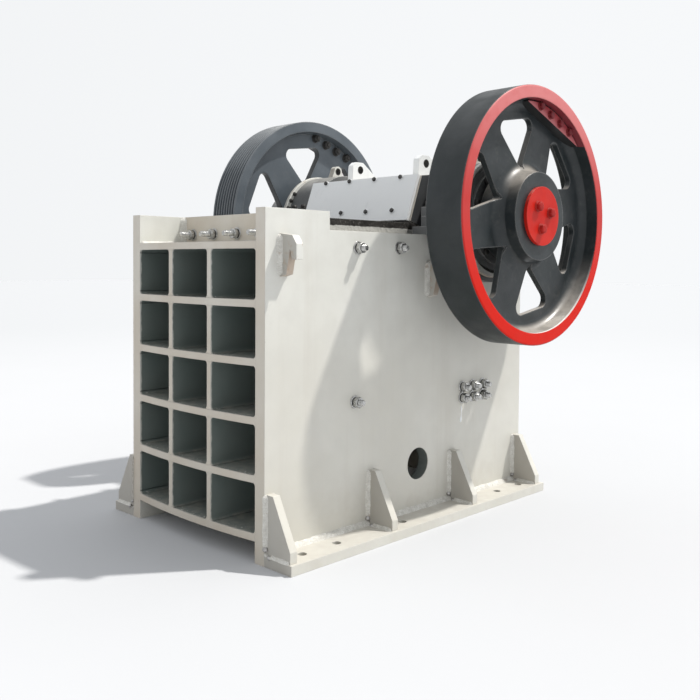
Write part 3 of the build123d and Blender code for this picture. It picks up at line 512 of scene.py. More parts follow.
def shaded_grooves(coat, colour, radius, out):
    groove = coat.both(
        coat.band(radius, GROOVE_FADE),
        coat.more(radius, GROOVE_FLOOR),
        coat.less(out, WHEEL_FACE - GROOVE_MARGIN),
        coat.more(out, WHEEL_INNER + GROOVE_MARGIN),
    )
    return coat.over(colour, GROOVE_SHADE_TONE, groove, amount=0.85)


# Black wheel paint with a red ring on the outer face and painted highlight along the edges
WHEEL_HIGHLIGHT_TONE = (0.33, 0.33, 0.325)
WHEEL_UPWARD = (0.25, 0.95)
RING_SKIN, RING_DEPTH = 0.0005, 0.0045
RING_SPECULAR = (0.42, 0.12)
DISH_GLOSS = 0.08


def wheel_paint(name, tones, face_side, wall_shade):
    coat = Finish(name, bevel=0.010)
    rise = coat.minus(coat.z, SHAFT.z)
    radius = coat.distance(coat.minus(coat.x, SHAFT.x), rise)
    out = coat.times(coat.y, face_side)
    inside = coat.less(radius, RIM_INNER + FINE_SKIN)
    upward = coat.band(coat.normal_z, WHEEL_UPWARD)
    ring = coat.both(coat.more(radius, RIM_INNER - RING_SKIN), coat.more(out, WHEEL_FACE - RING_DEPTH))
    colour = coat.mix(coat.cloud(scale=4.0, detail=5.0, rough=0.6, limits=(0.35, 0.68)), *tones)
    # Painted highlight along the edges
    colour = coat.over(colour, WHEEL_HIGHLIGHT_TONE, coat.edges(), amount=0.5)
    colour = wheel_dish(coat, colour, radius, inside, upward, wall_shade)
    colour = red_rim(coat, colour, radius, out)
    colour = red_ring(coat, colour, rise, ring)
    colour = painted_lip_highlight(coat, colour, radius, out, upward)
    colour = shaded_grooves(coat, colour, radius, out)
    cast = coat.stack(coat.noise(scale=120.0, rough=0.6), coat.noise(scale=22.0, detail=3.0), amount=1.6)
    normal = coat.bump(cast, strength=0.10, distance=0.003)
    roughness = coat.gloss(scale=9.0, detail=4.0, ends=(0.38, 0.52))
    roughness = coat.minus(roughness, coat.times(inside, DISH_GLOSS))
    return coat.shaded(colour, roughness, normal, specular=coat.band(ring, WHOLE, RING_SPECULAR))


# Red face of a counterweight, pale along its chord as painted light, with black sides
CHORD_LIGHT_TONE = (0.50, 0.175, 0.185)
CHORD_FADE = (0.045, 0.0)
SIDE_TONES = ((0.018, 0.019, 0.020), (0.034, 0.034, 0.033))


def weight_sides(coat, colour):
    beyond = coat.minus(along_weight(coat), WEIGHT_CHORD)
    colour = coat.over(colour, CHORD_LIGHT_TONE, coat.band(beyond, CHORD_FADE, ends=(0.0, 0.75)))
    side = coat.less(coat.size(coat.y), WEIGHT_FACE - SKIN)
    return coat.mix(side, colour, coat.mix(coat.noise(scale=12.0), *SIDE_TONES))


# Red enamel of the caps, counterweights and screws, with painted highlight along the edges
RED_HIGHLIGHT_TONE = (0.80, 0.16, 0.13)
RED_DUST_TONE = (0.55, 0.36, 0.31)
RED_UPWARD = (0.3, 0.9)


def red_paint(name, tones, black_sides=False):
    coat = Finish(name, bevel=0.004)
    colour = coat.mix(coat.cloud(scale=7.0, limits=(0.35, 0.7)), *tones)
    colour = coat.over(colour, RED_HIGHLIGHT_TONE, coat.edges(), amount=0.5)
    dust = coat.dust(RED_UPWARD, scale=30.0, limits=(0.4, 0.7))
    colour = coat.over(colour, RED_DUST_TONE, dust, amount=0.35)
    if black_sides:
        colour = weight_sides(coat, colour)
    normal = coat.bump(coat.noise(scale=190.0, detail=3.0), strength=0.12, distance=0.002)
    return coat.shaded(colour, coat.gloss(scale=12.0, ends=(0.38, 0.52)), normal, specular=0.18)


# Rough manganese castings in the crushing chamber, painted on the rising ledge of the cheeks
WEAR_TONES = ((0.016, 0.015, 0.014), (0.040, 0.037, 0.034))
WEAR_GRIT_TONE = (0.22, 0.21, 0.195)
WEAR_EDGE_TONE = (0.17, 0.165, 0.155)
LEDGE_TONE = (0.47, 0.465, 0.44)
LEDGE_FADE = (cheek_high.z - 0.024, cheek_high.z - 0.028)
LEDGE_RAGGED = 0.016


def wear_steel():
    coat = Finish("wear_steel", bevel=0.006)
    colour = coat.mix(coat.cloud(scale=9.0, detail=6.0, rough=0.7, limits=(0.35, 0.7)), *WEAR_TONES)
    grit = coat.cloud(scale=95.0, detail=3.0, rough=0.7, limits=(0.58, 0.68))
    colour = coat.over(colour, WEAR_GRIT_TONE, grit, amount=0.55)
    colour = coat.over(colour, WEAR_EDGE_TONE, coat.edges(), amount=0.4)
    ragged = coat.stack(coat.z, coat.noise(scale=38.0, rough=0.7), amount=LEDGE_RAGGED)
    ledge = coat.both(
        coat.band(ragged, LEDGE_FADE),
        coat.more(coat.z, cheek_high.z - CHEEK_RISE),
        coat.more(coat.size(coat.normal_y), SIDEWAYS),
    )
    colour = coat.over(colour, LEDGE_TONE, ledge, amount=0.9)
    cast = coat.stack(coat.noise(scale=70.0, detail=5.0, rough=0.7), coat.specks(scale=55.0), amount=0.8)
    normal = coat.bump(cast, strength=0.55, distance=0.006)
    return coat.shaded(colour, coat.gloss(scale=20.0, ends=(0.55, 0.8)), normal, specular=0.15)


# Zinc plated or machined steel
STAIN_TONE = (0.30, 0.26, 0.21)


def bright_steel(name, tones, roughness):
    coat = Finish(name, bevel=0.0015)
    colour = coat.mix(coat.cloud(scale=60.0, limits=(0.35, 0.7)), *tones)
    stain = coat.cloud(scale=22.0, detail=5.0, rough=0.7, limits=(0.60, 0.75), ends=(0.0, 0.5))
    colour = coat.over(colour, STAIN_TONE, stain)
    normal = coat.bump(coat.noise(scale=500.0, detail=2.0), strength=0.10, distance=0.001)
    return coat.shaded(colour, coat.gloss(scale=45.0, ends=roughness), normal, metallic=1.0)


# Dark oxide of small screws
OXIDE_TONES = ((0.022, 0.022, 0.022), (0.055, 0.052, 0.048))


def dark_steel():
    coat = Finish("dark_steel", bevel=0.001)
    colour = coat.mix(coat.noise(scale=80.0, detail=3.0), *OXIDE_TONES)
    normal = coat.bump(coat.noise(scale=420.0, detail=2.0), strength=0.12, distance=0.001)
    return coat.shaded(colour, coat.gloss(scale=60.0, ends=(0.42, 0.6)), normal)


# Finishes and the solids that wear them
FLYWHEEL_TONES = ((0.012, 0.0175, 0.0195), (0.025, 0.030, 0.033))
# Painted light: the pulley's black paint drawn slate grey, as haze and sky light show it
PULLEY_LIT_TONES = ((0.088, 0.106, 0.124), (0.120, 0.140, 0.160))
CAP_TONES = ((0.55, 0.018, 0.009), (0.48, 0.012, 0.007))
# Painted shade: cap screw red darker than the caps
CAP_SCREW_SHADED_TONES = ((0.40, 0.014, 0.010), (0.30, 0.009, 0.007))
# Painted shade: counterweight red darker than the caps, as in the shadow of the rim
WEIGHT_SHADED_TONES = ((0.32, 0.046, 0.054), (0.26, 0.034, 0.042))
# Painted shade: weight screw red darker than the weight face
WEIGHT_SCREW_SHADED_TONES = ((0.15, 0.012, 0.018), (0.11, 0.008, 0.013))
ZINC_TONES = ((0.40, 0.40, 0.39), (0.60, 0.60, 0.59))
MACHINED_TONES = ((0.38, 0.37, 0.36), (0.52, 0.51, 0.50))
HOUSING_PARTS = ("seat", "base", "cap", "cover")
body = body_paint("body_paint", with_cells=True)
moving_body = body_paint("pitman_paint", with_ends=True)
housing = housing_paint()
weld_coat = weld_paint()
guard = guard_paint()
fly_paint = wheel_paint("flywheel_paint", FLYWHEEL_TONES, face_side=-1.0, wall_shade=0.0)
pulley_paint = wheel_paint("pulley_paint", PULLEY_LIT_TONES, face_side=1.0, wall_shade=0.9)
red = red_paint("red_paint", CAP_TONES)
screw_red = red_paint("cap_screw_paint", CAP_SCREW_SHADED_TONES)
weight_red = red_paint("weight_paint", WEIGHT_SHADED_TONES, black_sides=True)
weight_screw_red = red_paint("weight_screw_paint", WEIGHT_SCREW_SHADED_TONES)
wear = wear_steel()
zinc = bright_steel("zinc_steel", ZINC_TONES, roughness=(0.24, 0.40))
machined = bright_steel("machined_steel", MACHINED_TONES, roughness=(0.30, 0.46))
dark = dark_steel()

finish_nodes = (
    (fly_paint, ("flywheel",)),
    (pulley_paint, ("pulley",)),
    (weight_red, ("flywheel_counterweight", "pulley_counterweight")),
    (red, ("flywheel_end_cap", "pulley_end_cap")),
    (guard, ("guard_plate", "pitman_lugs")),
    (wear, ("fixed_jaw_plate", "moving_jaw_plate", "cheek_plate_right", "cheek_plate_left", "toggle_plate")),
    (machined, ("eccentric_shaft", "tension_rod")),
    (moving_body, ("pitman",)),
    (housing, [f"bearing_{part}_{side}" for part in HOUSING_PARTS for side in ("right", "left")]),
)
node_finish = {name: finish for finish, names in finish_nodes for name in names}
for name, node in frame["nodes"].items():
    for slot in node.material_slots:
        slot.material = node_finish.get(name, body)

# Angles in degrees above which an edge is drawn sharp
SHARP, FILLET_SHARP, WELD_SHARP = 38, 50, 60


# Vertices and faces of one joined piece
class Parts:
    def __init__(self):
        self.points = []
        self.faces = []

    # Skin over rings, with a lid at both ends or the last ring joined to the first
    def skin(self, rings, joined=False):
        size, count = len(rings[0]), len(rings)
        faces = [] if joined else [tuple(reversed(range(size)))]
        for i in range(count if joined else count - 1):
            start, following = size * i, size * ((i + 1) % count)
            for k in range(size):
                after = (k + 1) % size
                faces.append((start + k, start + after, following + after, following + k))
        if not joined:
            faces.append(tuple(range(size * (count - 1), size * count)))
        before = len(self.points)
        self.points += [point for ring in rings for point in ring]
        self.faces += [tuple(before + i for i in face) for face in faces]

    # One object, on the frame unless another body is given
    def piece(self, name, material, body_name="frame", slot_name="bare_steel", sharp=SHARP):
        mesh = bpy.data.meshes.new(name)
        mesh.from_pydata(self.points, [], self.faces)
        work = bmesh.new()
        work.from_mesh(mesh)
        bmesh.ops.recalc_face_normals(work, faces=work.faces)
        work.to_mesh(mesh)
        work.free()
        mesh.materials.append(material)
        mesh.shade_smooth()
        mesh.set_sharp_from_angle(angle=math.radians(sharp))
        piece = bpy.data.objects.new(name, mesh)
        bpy.context.collection.objects.link(piece)
        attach(piece, body_name)
        return piece


# Place whose Z axis points along an axis, turned about it
def facing(point, axis, turn=0.0):
    rotation = axis.to_track_quat("Z", "Y").to_matrix().to_4x4()
    return Matrix.Translation(point) @ rotation @ Matrix.Rotation(turn, 4, "Z")


# The same place moved along its own Z axis
def lifted(place, lift):
    return place @ Matrix.Translation((0, 0, lift))


# Turned shape from rings of radius, height and number of flats
def turned(parts, place, profile, segments=24, joined=False):
    rings = []
    for radius, height, flats in profile:
        ring = []
        for k in range(segments):
            angle = 2 * math.pi * k / segments
            reach = radius
            if flats:
                sector = 2 * math.pi / flats
                reach = radius / math.cos(angle % sector - sector / 2)
            ring.append(place @ Vector((reach * math.cos(angle), reach * math.sin(angle), height)))
        rings.append(ring)
    parts.skin(rings, joined)


# Turned ring from a closed section of radius and height
def tube(parts, point, axis, section, segments):
    profile = [(radius, height, 0) for radius, height in section]
    turned(parts, facing(point, axis), profile, segments, joined=True)


# Fasteners as unit shapes: share of the radius, share of the height and number of flats
WASHER_SHAPE = ((1.0, 0.0, 0), (1.0, 0.7, 0), (0.93, 1.0, 0))
SPRING_SHAPE = ((1.0, 0.0, 0), (1.0, 1.0, 0))
NUT_SHAPE = ((0.94, 0.0, 0), (1.0, 0.08, 6), (1.0, 0.88, 6), (0.95, 1.0, 0), (0.60, 1.0, 0), (0.55, 0.94, 0))
HEAD_SHAPE = ((0.95, 0.0, 0), (1.0, 0.05, 6), (1.0, 0.86, 6), (0.93, 1.0, 0), (0.5, 1.03, 0))
WASHER_SEGMENTS, STUD_SEGMENTS = 28, 18
THREAD_PITCH, THREAD_ROOT, THREAD_END = 0.24, 0.88, 0.80


def shaped(parts, place, shape, radius, height, **settings):
    turned(parts, place, [(radius * wide, height * high, flats) for wide, high, flats in shape], **settings)


def washer(parts, place, radius, height):
    shaped(parts, place, WASHER_SHAPE, radius, height, segments=WASHER_SEGMENTS)


# Threaded end of a stud
def stud(parts, place, radius, length):
    pitch = THREAD_PITCH * radius
    rings = []
    for k in range(int(length / pitch)):
        rings.append((radius, pitch * k, 0))
        rings.append((THREAD_ROOT * radius, pitch * (k + 0.5), 0))
    turned(parts, place, rings + [(THREAD_END * radius, length, 0)], STUD_SEGMENTS)


# Radius and height of each piece of a bolt or screw, as shares of its thread
BOLT_WASHER, BOLT_SPRING, BOLT_NUT = (1.05, 0.17), (0.84, 0.18), (0.80, 0.82)
SCREW_WASHER, SCREW_HEAD = (1.02, 0.16), (0.76, 0.66)


def scaled(shares, size):
    return shares[0] * size, shares[1] * size


# Stud with its washer and nut, for a thread of one size standing out by one length
def stud_bolt(parts, point, axis, size, out, springs=None):
    place = facing(point, axis, rng.uniform(0, math.pi))
    reach, lift = scaled(BOLT_WASHER, size)
    washer(parts, place, reach, lift)
    if springs is not None:
        reach, height = scaled(BOLT_SPRING, size)
        shaped(springs, lifted(place, lift), SPRING_SHAPE, reach, height)
        lift += height
    shaped(parts, lifted(place, lift), NUT_SHAPE, *scaled(BOLT_NUT, size))
    stud(parts, lifted(place, lift), size / 2, out - lift)


# Screw with its washer and hexagon head
def screw(parts, point, axis, size):
    place = facing(point, axis, rng.uniform(0, math.pi))
    reach, lift = scaled(SCREW_WASHER, size)
    washer(parts, place, reach, lift)
    shaped(parts, lifted(place, lift), HEAD_SHAPE, *scaled(SCREW_HEAD, size))


# Waves of a weld bead as length and height, and its form, as shares of its size
WELD_WAVES = ((1.1, 0.025), (2.7, 0.04), (7.3, 0.06))
WELD_STEP, WELD_LEAST_STEPS = 0.24, 6
WELD_ARC = 6
WELD_END, WELD_ROOT, WELD_BULGE = 0.4, 0.1, 0.3


# Lumpy weld bead in the corner between two faces
def weld(parts, start, end, side_a, side_b, size):
    along = end - start
    length = along.length
    along.normalize()
    count = max(WELD_LEAST_STEPS, int(length / (WELD_STEP * size)))
    phases = [rng.uniform(0, 2 * math.pi) for _ in WELD_WAVES]
    rings = []
    for i in range(count + 1):
        run = length * i / count
        swell = 1.0
        for phase, (wave, height) in zip(phases, WELD_WAVES):
            swell += height * math.sin(2 * math.pi * run / (wave * size) + phase)
        reach = size * swell * min(1.0, WELD_END + run / size, WELD_END + (length - run) / size)
        corner = start + along * run
        ring = [corner - (side_a + side_b) * WELD_ROOT * size]
        for j in range(WELD_ARC + 1):
            angle = math.pi / 2 * j / WELD_ARC
            chord = 1 / (math.cos(angle) + math.sin(angle))
            radius = reach * (WELD_BULGE + (1 - WELD_BULGE) * chord)
            ring.append(corner + (side_a * math.cos(angle) + side_b * math.sin(angle)) * radius)
        rings.append(ring)
    parts.skin(rings)


# Round end lump of a weld bead, as radius and height
LUMP_SHAPE = ((0.55, -0.4), (0.9, -0.1), (1.0, 0.25), (0.8, 0.6), (0.4, 0.8))
LUMP_SPREAD = (0.9, 1.1)
LUMP_SEGMENTS = 12


def lump(parts, point, axis, size):
    rough = [(size * radius * rng.uniform(*LUMP_SPREAD), size * height, 0) for radius, height in LUMP_SHAPE]
    turned(parts, facing(point, axis), rough, LUMP_SEGMENTS)


SIDES = ((-1, "right", MINUS_Y), (1, "left", PLUS_Y))
ROW_OF_FOUR = (-1.5, -0.5, 0.5, 1.5)

# Studs through the front wall
WALL_STUD_SIZE, WALL_STUD_OUT = 0.031, 0.092
WALL_STUD_HEIGHT = 1.547
WALL_STUD_PLACES = (-0.376, -0.190, 0.010, 0.210, 0.400)
parts, springs = Parts(), Parts()
for across in WALL_STUD_PLACES:
    point = Vector((WALL_X, across, WALL_STUD_HEIGHT))
    stud_bolt(parts, point, MINUS_X, WALL_STUD_SIZE, WALL_STUD_OUT, springs)
parts.piece("front_wall_studs", zinc)
springs.piece("front_wall_spring_washers", dark)

# Bolts of the cheek plates and of the toggle beam, on both side plates
SIDE_BOLT_SIZE, SIDE_BOLT_OUT = 0.032, 0.062
CHEEK_BOLTS = [(0.608, 1.472), (0.923, 1.478), (0.594, 0.694)]
BEAM_BACKS = (1.492, 1.591, 1.691)
BEAM_HEIGHTS = (0.685, 0.620)
beam_bolts = [(back, height) for back in BEAM_BACKS for height in BEAM_HEIGHTS]
for sign, side, out in SIDES:
    parts, springs = Parts(), Parts()
    for back, height in CHEEK_BOLTS + beam_bolts:
        point = Vector((FRONT_X + back, sign * OUTER_Y, height))
        stud_bolt(parts, point, out, SIDE_BOLT_SIZE, SIDE_BOLT_OUT, springs)
    parts.piece("side_bolts_" + side, zinc)
    springs.piece("side_spring_washers_" + side, dark)

# Screws of the guard plate on its tilted face
GUARD_SCREW_ROWS = (1.892, 1.697)
GUARD_SCREW_SPACING = 0.204
GUARD_THICKNESS = 0.020
GUARD_WASHER, GUARD_WASHER_HEIGHT = 0.017, 0.003
GUARD_HEAD, GUARD_HEAD_HEIGHT = 0.0115, 0.010
guard_normal = Vector((-math.cos(JAW_TILT), 0, math.sin(JAW_TILT)))
guard_foot = Vector((guard_low.x, 0, guard_low.z + GUARD_THICKNESS * math.sin(JAW_TILT)))
washers, heads = Parts(), Parts()
for height in GUARD_SCREW_ROWS:
    run = (height - guard_foot.z) * math.tan(JAW_TILT)
    for k in ROW_OF_FOUR:
        point = Vector((guard_foot.x + run, GUARD_SCREW_SPACING * k, height))
        place = facing(point, guard_normal, rng.uniform(0, math.pi))
        washer(washers, place, GUARD_WASHER, GUARD_WASHER_HEIGHT)
        shaped(heads, lifted(place, GUARD_WASHER_HEIGHT), HEAD_SHAPE, GUARD_HEAD, GUARD_HEAD_HEIGHT)
washers.piece("guard_washers", guard, "swing_jaw", "guard_paint")
heads.piece("guard_screws", dark, "swing_jaw")

# Screws of the shaft end caps and counterweights
CAP_SCREW_SIZE, CAP_SCREW_RADIUS = 0.030, 0.073
CAP_SCREW_ANGLES = (16, 136, 256)
WEIGHT_SCREW_SIZE, WEIGHT_SCREW_RADIUS = 0.025, 0.592
WEIGHT_SCREW_SPACING = 0.107
WEIGHT_NUT_SIZE, WEIGHT_NUT_OUT = 0.030, 0.040
WHEELS = {"flywheel": (MINUS_Y, fly_paint), "pulley": (PLUS_Y, pulley_paint)}
for wheel, (out, _) in WHEELS.items():
    caps, weights, nuts = Parts(), Parts(), Parts()
    for angle in CAP_SCREW_ANGLES:
        reach = spoke(math.radians(angle)) * CAP_SCREW_RADIUS
        screw(caps, SHAFT + reach + out * CAP_FACE, out, CAP_SCREW_SIZE)
    web_inner = WHEEL_FACE - WEB_DEPTHS[wheel] - WEB_THICKNESSES[wheel]
    for k in ROW_OF_FOUR:
        place = SHAFT + to_weight * WEIGHT_SCREW_RADIUS + across_weight * WEIGHT_SCREW_SPACING * k
        screw(weights, place + out * WEIGHT_FACE, out, WEIGHT_SCREW_SIZE)
        stud_bolt(nuts, place + out * web_inner, -out, WEIGHT_NUT_SIZE, WEIGHT_NUT_OUT)
    caps.piece(wheel + "_cap_screws", screw_red, "rotor", "red_paint")
    weights.piece(wheel + "_weight_screws", weight_screw_red, "rotor", "red_paint")
    nuts.piece(wheel + "_weight_nuts", dark, "rotor")

# Casting fillets between web, hub and rim, cut back where the windows begin
HUB_FILLET, RIM_FILLET = 0.060, 0.050
FILLET_STEPS, FILLET_TURNS = 9, 360
FILLET_SKIRT, FILLET_SINK, FILLET_TOE = 0.014, 0.006, 0.002
WINDOW_MARGIN = 0.0015


# Radius at which a window begins, or the whole wheel between two windows
def window_limit(angle, wheel):
    sector = 2 * math.pi / WINDOW_COUNT
    first = WEIGHT_ANGLE + sector / 2 + WINDOW_TURNS[wheel]
    off = abs((angle - first + sector / 2) % sector - sector / 2)
    if off >= WINDOW_SIDE_ANGLE:
        return WHEEL_RADIUS
    return max(WINDOW_TIP, WINDOW_APEX * math.sin(WINDOW_SIDE_ANGLE) / math.sin(WINDOW_SIDE_ANGLE - off))


# Ring of fillet that grows outwards from the hub or inwards from the rim
def fillet_ring(parts, wheel, wall, draft, size, grow):
    out = WHEELS[wheel][0]
    depth = WEB_DEPTHS[wheel]
    rings = []
    for k in range(FILLET_TURNS):
        angle = 2 * math.pi * k / FILLET_TURNS
        reach = size
        if grow > 0:
            reach = min(size, window_limit(angle, wheel) - wall - WINDOW_MARGIN)
        skirt = reach + FILLET_SKIRT if reach == size else reach
        section = [(-FILLET_SINK, size), (-FILLET_SINK, -FILLET_SINK)]
        section += [(skirt, -FILLET_SINK), (skirt, -FILLET_TOE)]
        for j in range(FILLET_STEPS, -1, -1):
            step = reach * (j / FILLET_STEPS) ** 2
            section.append((step, size - math.sqrt(size ** 2 - (size - step) ** 2)))
        ring = []
        for step, height in section:
            radius = wall + grow * (step - draft * max(height, 0.0) / depth)
            ring.append(SHAFT + spoke(angle) * radius + out * (WHEEL_FACE - depth + height))
        rings.append(ring)
    parts.skin(rings, joined=True)


for wheel, (_, paint) in WHEELS.items():
    parts = Parts()
    fillet_ring(parts, wheel, HUB_RADIUS + HUB_DRAFT, HUB_DRAFT, HUB_FILLET, 1)
    fillet_ring(parts, wheel, RIM_INNER - RIM_DRAFT, RIM_DRAFT, RIM_FILLET, -1)
    parts.piece(wheel + "_fillets", paint, "rotor", "wheel_paint", FILLET_SHARP)

# Bolts of the bearing housings and their covers, and a thin collar with nuts behind them
COVER_SCREWS = 10
COVER_SCREW_SIZE, COVER_SCREW_RADIUS = 0.020, 0.243
CAP_FLANGE = 0.052
CAP_NUT_SIZE, CAP_NUT_OUT = 0.036, 0.062
CAP_NUT_RUN = 0.352
CAP_NUT_PLACES = (INNER_Y + 0.035, OUTER_Y + 0.055)
COLLAR_CENTRE = SHAFT + Vector((-0.022, 0, -0.008))
COLLAR_BORE, COLLAR_RADIUS, COLLAR_BEVEL = 0.290, 0.332, 0.004
COLLAR_INNER, COLLAR_OUTER = 0.708, 0.734
COLLAR_SEGMENTS = 120
COLLAR_NUT_SIZE, COLLAR_NUT_OUT = 0.013, 0.020
COLLAR_NUT_RADIUS = 0.317
COLLAR_NUT_ANGLES = range(140, 221, 10)
COLLAR_SECTION = (
    (COLLAR_BORE, COLLAR_INNER),
    (COLLAR_RADIUS - COLLAR_BEVEL, COLLAR_INNER),
    (COLLAR_RADIUS, COLLAR_INNER + COLLAR_BEVEL),
    (COLLAR_RADIUS, COLLAR_OUTER - COLLAR_BEVEL),
    (COLLAR_RADIUS - COLLAR_BEVEL, COLLAR_OUTER),
    (COLLAR_BORE, COLLAR_OUTER),
)
for sign, side, out in SIDES:
    parts, collar = Parts(), Parts()
    for k in range(COVER_SCREWS):
        reach = spoke(2 * math.pi * (k + 0.5) / COVER_SCREWS) * COVER_SCREW_RADIUS
        screw(parts, SHAFT + reach + out * cover_high.y, out, COVER_SCREW_SIZE)
    for run in (-CAP_NUT_RUN, CAP_NUT_RUN):
        for across in CAP_NUT_PLACES:
            point = Vector((SHAFT.x + run, sign * across, SHAFT.z + CAP_FLANGE))
            stud_bolt(parts, point, PLUS_Z, CAP_NUT_SIZE, CAP_NUT_OUT)
    for angle in COLLAR_NUT_ANGLES:
        point = COLLAR_CENTRE + spoke(math.radians(angle)) * COLLAR_NUT_RADIUS + out * COLLAR_INNER
        stud_bolt(parts, point, -out, COLLAR_NUT_SIZE, COLLAR_NUT_OUT)
    parts.piece("bearing_bolts_" + side, dark)
    tube(collar, COLLAR_CENTRE, out, COLLAR_SECTION, COLLAR_SEGMENTS)
    collar.piece("bearing_collar_" + side, body, "frame", "body_paint")

# Worn sleeves in the lifting eyes
SLEEVE_WALL, SLEEVE_OVER = 0.0016, 0.0012
SLEEVE_SEGMENTS = 40
MM = 0.001
sleeves = {"bearing": Parts(), "pitman": Parts()}
for mount in frame["record"]["mounts"]:
    if mount["kind"] == "bore":
        bore = mount["dims"]["r_mm"] * MM
        half = mount["dims"]["length_mm"] * MM / 2 + SLEEVE_OVER
        outer, inner = bore + SLEEVE_WALL, bore - SLEEVE_WALL
        section = ((outer, -half), (inner, -half), (inner, half), (outer, half))
        owner = sleeves[mount["name"].split("_")[0]]
        tube(owner, Vector(mount["pos_m"]), Vector(mount["axis"]), section, SLEEVE_SEGMENTS)
sleeves["bearing"].piece("bearing_eye_sleeves", dark)
sleeves["pitman"].piece("pitman_lug_sleeves", dark, "swing_jaw")

# Weld beads of the frame, with lumps where those of the gussets end
FLANGE_BEAD, GUSSET_BEAD, GUSSET_TOE_BEAD = 0.023, 0.018, 0.0144
HOOK_BEAD, WALL_BEAD, LEDGE_BEAD = 0.020, 0.026, 0.014
GUSSET_STARTS = (0.008, 0.695, 1.375)
GUSSET_THICKNESS = 0.042
GUSSET_CUT, GUSSET_CUT_GAP = 0.022, 0.012
GUSSET_HEEL, GUSSET_TOE = 0.034, 0.165
FOOT_LUMP, HEEL_LUMP, LUMP_OFF = 0.013, 0.011, 0.006
HOOK_FRONTS = ((0.088, 1.530), (1.160, 1.412))
HOOK_THICKNESS, HOOK_HEIGHT = 0.042, 0.199
HOOK_FOOT_GAP, HOOK_TOP_GAP = 0.006, 0.004
LEDGE_GAP = 0.01
gusset_fronts = [FRONT_X + back for back in GUSSET_STARTS] + [gusset_high.x - GUSSET_THICKNESS]


# Both faces of a plate that stands across the frame, with their directions
def plate_faces(front, thickness):
    return (front, MINUS_X), (front + thickness, PLUS_X)


# Beads on one face of a gusset
def gusset_welds(parts, lumps, sign, out, x, away):
    face = sign * OUTER_Y
    foot = Vector((x, face, FLANGE_TOP + GUSSET_CUT + GUSSET_CUT_GAP))
    heel = Vector((x, face + sign * GUSSET_HEEL, FLANGE_TOP))
    toe = Vector((x, face + sign * GUSSET_TOE, FLANGE_TOP))
    weld(parts, foot, Vector((x, face, gusset_high.z)), away, out, GUSSET_BEAD)
    weld(parts, heel, toe, away, PLUS_Z, GUSSET_TOE_BEAD)
    corner = (away + out + PLUS_Z).normalized()
    lump(lumps, foot + (away + out) * LUMP_OFF, corner, FOOT_LUMP)
    lump(lumps, heel + away * LUMP_OFF, corner, HEEL_LUMP)


for sign, side, out in SIDES:
    parts, lumps = Parts(), Parts()
    face, inner = sign * OUTER_Y, sign * INNER_Y
    rear_end = Vector((REAR_X, face, FLANGE_TOP))
    weld(parts, Vector((FRONT_X, face, FLANGE_TOP)), rear_end, out, PLUS_Z, FLANGE_BEAD)
    for front in gusset_fronts:
        for x, away in plate_faces(front, GUSSET_THICKNESS):
            gusset_welds(parts, lumps, sign, out, x, away)
    for back, top in HOOK_FRONTS:
        for x, away in plate_faces(FRONT_X + back, HOOK_THICKNESS):
            low = Vector((x, face, top - HOOK_HEIGHT + HOOK_FOOT_GAP))
            weld(parts, low, Vector((x, face, top - HOOK_TOP_GAP)), away, out, HOOK_BEAD)
    corner = Vector((WALL_X, inner, RIB_TOP))
    weld(parts, corner, Vector((WALL_X, inner, FRAME_TOP)), MINUS_X, -out, WALL_BEAD)
    weld(parts, Vector((FRONT_X + LEDGE_GAP, inner, RIB_TOP)), corner, -out, PLUS_Z, LEDGE_BEAD)
    parts.piece("weld_beads_" + side, weld_coat, "frame", "body_paint", WELD_SHARP)
    lumps.piece("weld_lumps_" + side, machined, sharp=WELD_SHARP)
parts = Parts()
near_end = Vector((WALL_X, -INNER_Y, RIB_TOP))
weld(parts, near_end, Vector((WALL_X, INNER_Y, RIB_TOP)), MINUS_X, PLUS_Z, LEDGE_BEAD)
parts.piece("weld_beads_front", weld_coat, "frame", "body_paint", WELD_SHARP)

# Run of paint below the bolts of the toggle beam, swelling to a drop and swaying as it falls
RUN_BACK, RUN_TOP, RUN_LENGTH = 1.485, 0.572, 0.095
RUN_HALF, RUN_DROP = 0.0035, 0.0045
RUN_WAVE, RUN_WAVE_TURNS = 0.002, 9
RUN_SWAY, RUN_SWAY_TURNS = 0.004, 5
RUN_BULGE, RUN_SINK = 0.5, 0.001
RUN_STEPS, RUN_ARC = 24, 6
rings = []
for i in range(RUN_STEPS + 1):
    share = i / RUN_STEPS
    drop = RUN_DROP * math.sin(math.pi * share ** 3)
    half = RUN_HALF + drop + RUN_WAVE * math.sin(RUN_WAVE_TURNS * share)
    sway = RUN_SWAY * math.sin(RUN_SWAY_TURNS * share)
    middle = Vector((FRONT_X + RUN_BACK + sway, -OUTER_Y, RUN_TOP - RUN_LENGTH * share))
    ring = [middle - PLUS_X * half + PLUS_Y * RUN_SINK]
    for j in range(1, RUN_ARC):
        angle = math.pi * j / RUN_ARC
        bulge = RUN_BULGE * half * math.sin(angle)
        ring.append(middle - PLUS_X * half * math.cos(angle) - PLUS_Y * bulge)
    ring.append(middle + PLUS_X * half + PLUS_Y * RUN_SINK)
    rings.append(ring)
parts = Parts()
parts.skin(rings)
parts.piece("paint_run", guard, "frame", "body_paint")

